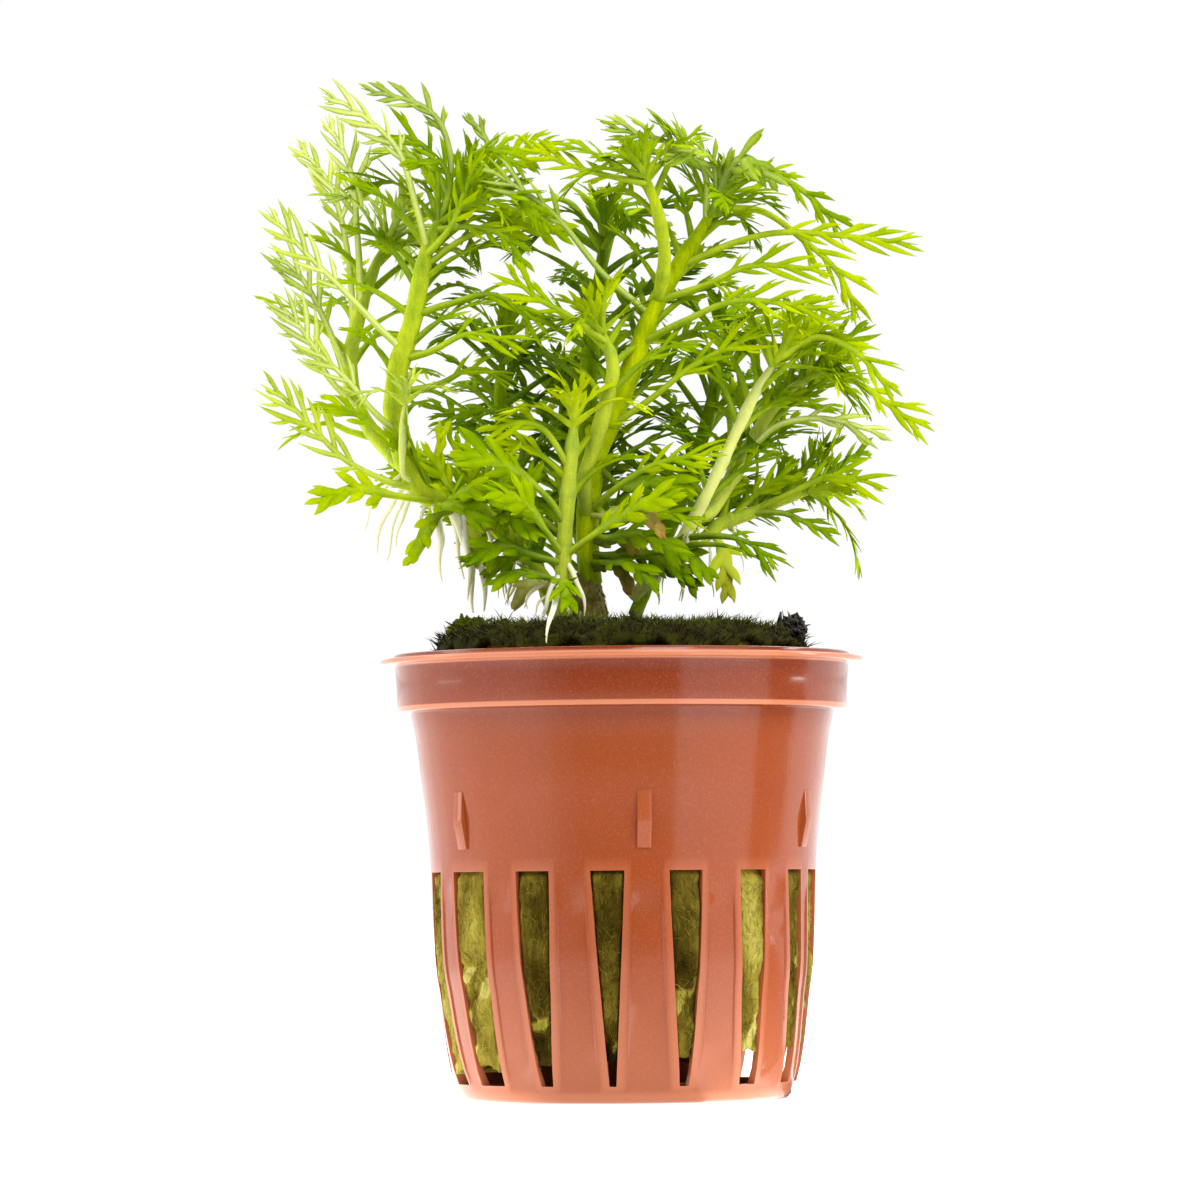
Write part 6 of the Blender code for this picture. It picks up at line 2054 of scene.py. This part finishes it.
@dataclass
class Studio:
    """A plain pale floor, soft light from all round and the camera at the photograph's angle."""

    floor_size: float = 6.0
    floor_gap: float = 0.00005
    dim: float = 0.05
    behind: float = 1.08
    left: float = 1.2
    right: float = 1.4
    above: float = 1.7
    near_floor: float = 1.1
    dull_floor: float = 0.2

    def build(self) -> None:
        """Make the floor, the light and the camera."""
        self.add_floor()
        self.add_light()
        self.add_camera()

    def add_floor(self) -> None:
        """A wide white floor, just under the pot, that glows more away from it.

        The pot's side leans outwards, so it mirrors the floor: there the floor shows it the same
        screens that stand round it, and a bright patch near the pot.
        """
        half = self.floor_size / 2
        corners = [(x * half, y * half, -self.floor_gap) for x, y in ((-1, -1), (1, -1), (1, 1), (-1, 1))]
        mesh = bpy.data.meshes.new("floor")
        mesh.from_pydata(corners, [], [(0, 1, 2, 3)])
        graph = Graph("floor_finish")
        x, y, _ = graph.parts(graph.place())
        away = (x * x + y * y) ** 0.5
        aside, depth = x * away ** -1.0, y * away ** -1.0
        gap = aside.between(0.90, 0.96) * depth.between(0.26, 0.22)
        screens = self.screens(aside, depth) + away.between(0.215, 0.09) * (1.0 - gap) * self.near_floor
        seen = Signal(graph, graph.node("ShaderNodeLightPath").outputs["Is Camera Ray"])
        glow = seen * away.between(0.03, 0.2) * 0.55 + seen * 0.45 + (1.0 - seen) * screens
        pale = seen * (0.85 - self.dull_floor) + self.dull_floor
        graph.set(base_color=pale, roughness=0.9, specular_ior_level=0.1, emission_color=glow,
                  emission_strength=1.0)
        mesh.materials.append(graph.material)
        placed("floor", mesh)

    def screens(self, aside: Signal, depth: Signal) -> Signal:
        """Light from the white wall behind and the screens at the sides.

        Args:
            aside: The direction's part to the right.
            depth: Its part away from the viewer.

        Returns:
            The light's strength.
        """
        back = depth.between(0.22, 0.26)
        left = aside.between(-0.35, -0.85) * (1.0 - back)
        right = aside.between(0.46, 0.50) * depth.between(-0.20, -0.24)
        return back * self.behind + left * self.left + right * self.right

    def add_light(self) -> None:
        """A dim room with a white wall behind, a white screen at each side and a white ceiling, and soft boxes.

        Each stretch of wall starts and ends at a share of the direction's depth, height or distance
        to the side. The camera itself sees plain white all round.
        """
        world = bpy.data.worlds.new("studio")
        graph = Graph("studio", world)
        aside, depth, up = graph.parts(graph.node("ShaderNodeTexCoord").outputs["Generated"])
        strength = self.screens(aside, depth) + up.between(0.35, 0.9) * self.above + self.dim
        seen = graph.node("ShaderNodeLightPath").outputs["Is Camera Ray"]
        lit = graph.node("ShaderNodeBackground", None, {"Color": (1.0, 1.0, 1.0), "Strength": strength})
        plain = graph.node("ShaderNodeBackground", None, {"Color": (1.0, 1.0, 1.0), "Strength": 1.0})
        both = graph.node("ShaderNodeMixShader", None,
                          {0: seen, 1: lit.outputs["Background"], 2: plain.outputs["Background"]})
        graph.feed(graph.tree.nodes["World Output"].inputs["Surface"], both.outputs["Shader"])
        bpy.context.scene.world = world
        for name, place, size, power in (("key", (0.35, -0.75, 0.85), (0.5, 0.5), 5.9),
                                         ("left", (-0.9, 0.12, 0.25), (0.3, 0.7), 2.0),
                                         ("right", (0.9, 0.15, 0.15), (0.16, 0.7), 3.8),
                                         ("back", (0.1, 0.9, 0.8), (0.6, 0.6), 2.0)):
            light = bpy.data.lights.new(name, "AREA")
            light.shape = "RECTANGLE"
            light.size, light.size_y = size
            light.energy = power
            towards = np.array((0.0, 0.0, 0.07)) - place
            placed(name, light).matrix_world = self.aimed(np.array(place), towards, 0.0)

    @staticmethod
    def aimed(place: Array, towards: Array, roll: float) -> Matrix:
        """The placing of a thing that looks in a direction.

        Args:
            place: Where it stands.
            towards: The direction that it looks in.
            roll: How far its right side is turned up from the level.

        Returns:
            The matrix whose columns are its right side, its top, its back and its place.
        """
        forward = unit(towards)
        right = unit(np.cross(forward, UP))
        up = np.cross(right, forward)
        right, up = (right * math.cos(roll) - up * math.sin(roll), right * math.sin(roll) + up * math.cos(roll))
        columns = np.stack((right, up, -forward, place), axis=1)
        return Matrix([*columns.tolist(), (0.0, 0.0, 0.0, 1.0)])

    def add_camera(self) -> None:
        """The camera, where the photograph was taken from."""
        lens = bpy.data.cameras.new("camera")
        lens.sensor_width = 36.0
        lens.angle = VIEW.field_of_view
        lens.clip_start = 0.01
        lens.clip_end = 20.0
        place = np.array((VIEW.eye_x, -VIEW.distance, VIEW.eye_z)) * MILLIMETRE
        middle = np.array((VIEW.eye_x, 0.0, VIEW.middle_z)) * MILLIMETRE
        camera = placed("camera", lens)
        camera.matrix_world = self.aimed(place, middle - place, VIEW.roll)
        bpy.context.scene.camera = camera
        bpy.context.scene.view_settings.view_transform = "Standard"


def main() -> None:
    """Load the frame, make every piece and set up the studio."""
    logging.basicConfig(level=logging.INFO, format="%(message)s")
    for old in list(bpy.data.objects):
        bpy.data.objects.remove(old)
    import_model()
    Studio().build()
    pot = NetPot()
    pot.build()
    WoolPlug(pot).build()
    MossMat().build()
    dark, moss = DarkFinish().build(), MossFinish("crumb_finish").build()
    for lump in LUMPS:
        lump.build(moss if lump.mossy else dark)
    RootStock().build()
    Plant().grow()


if __name__ == "__main__":
    main()
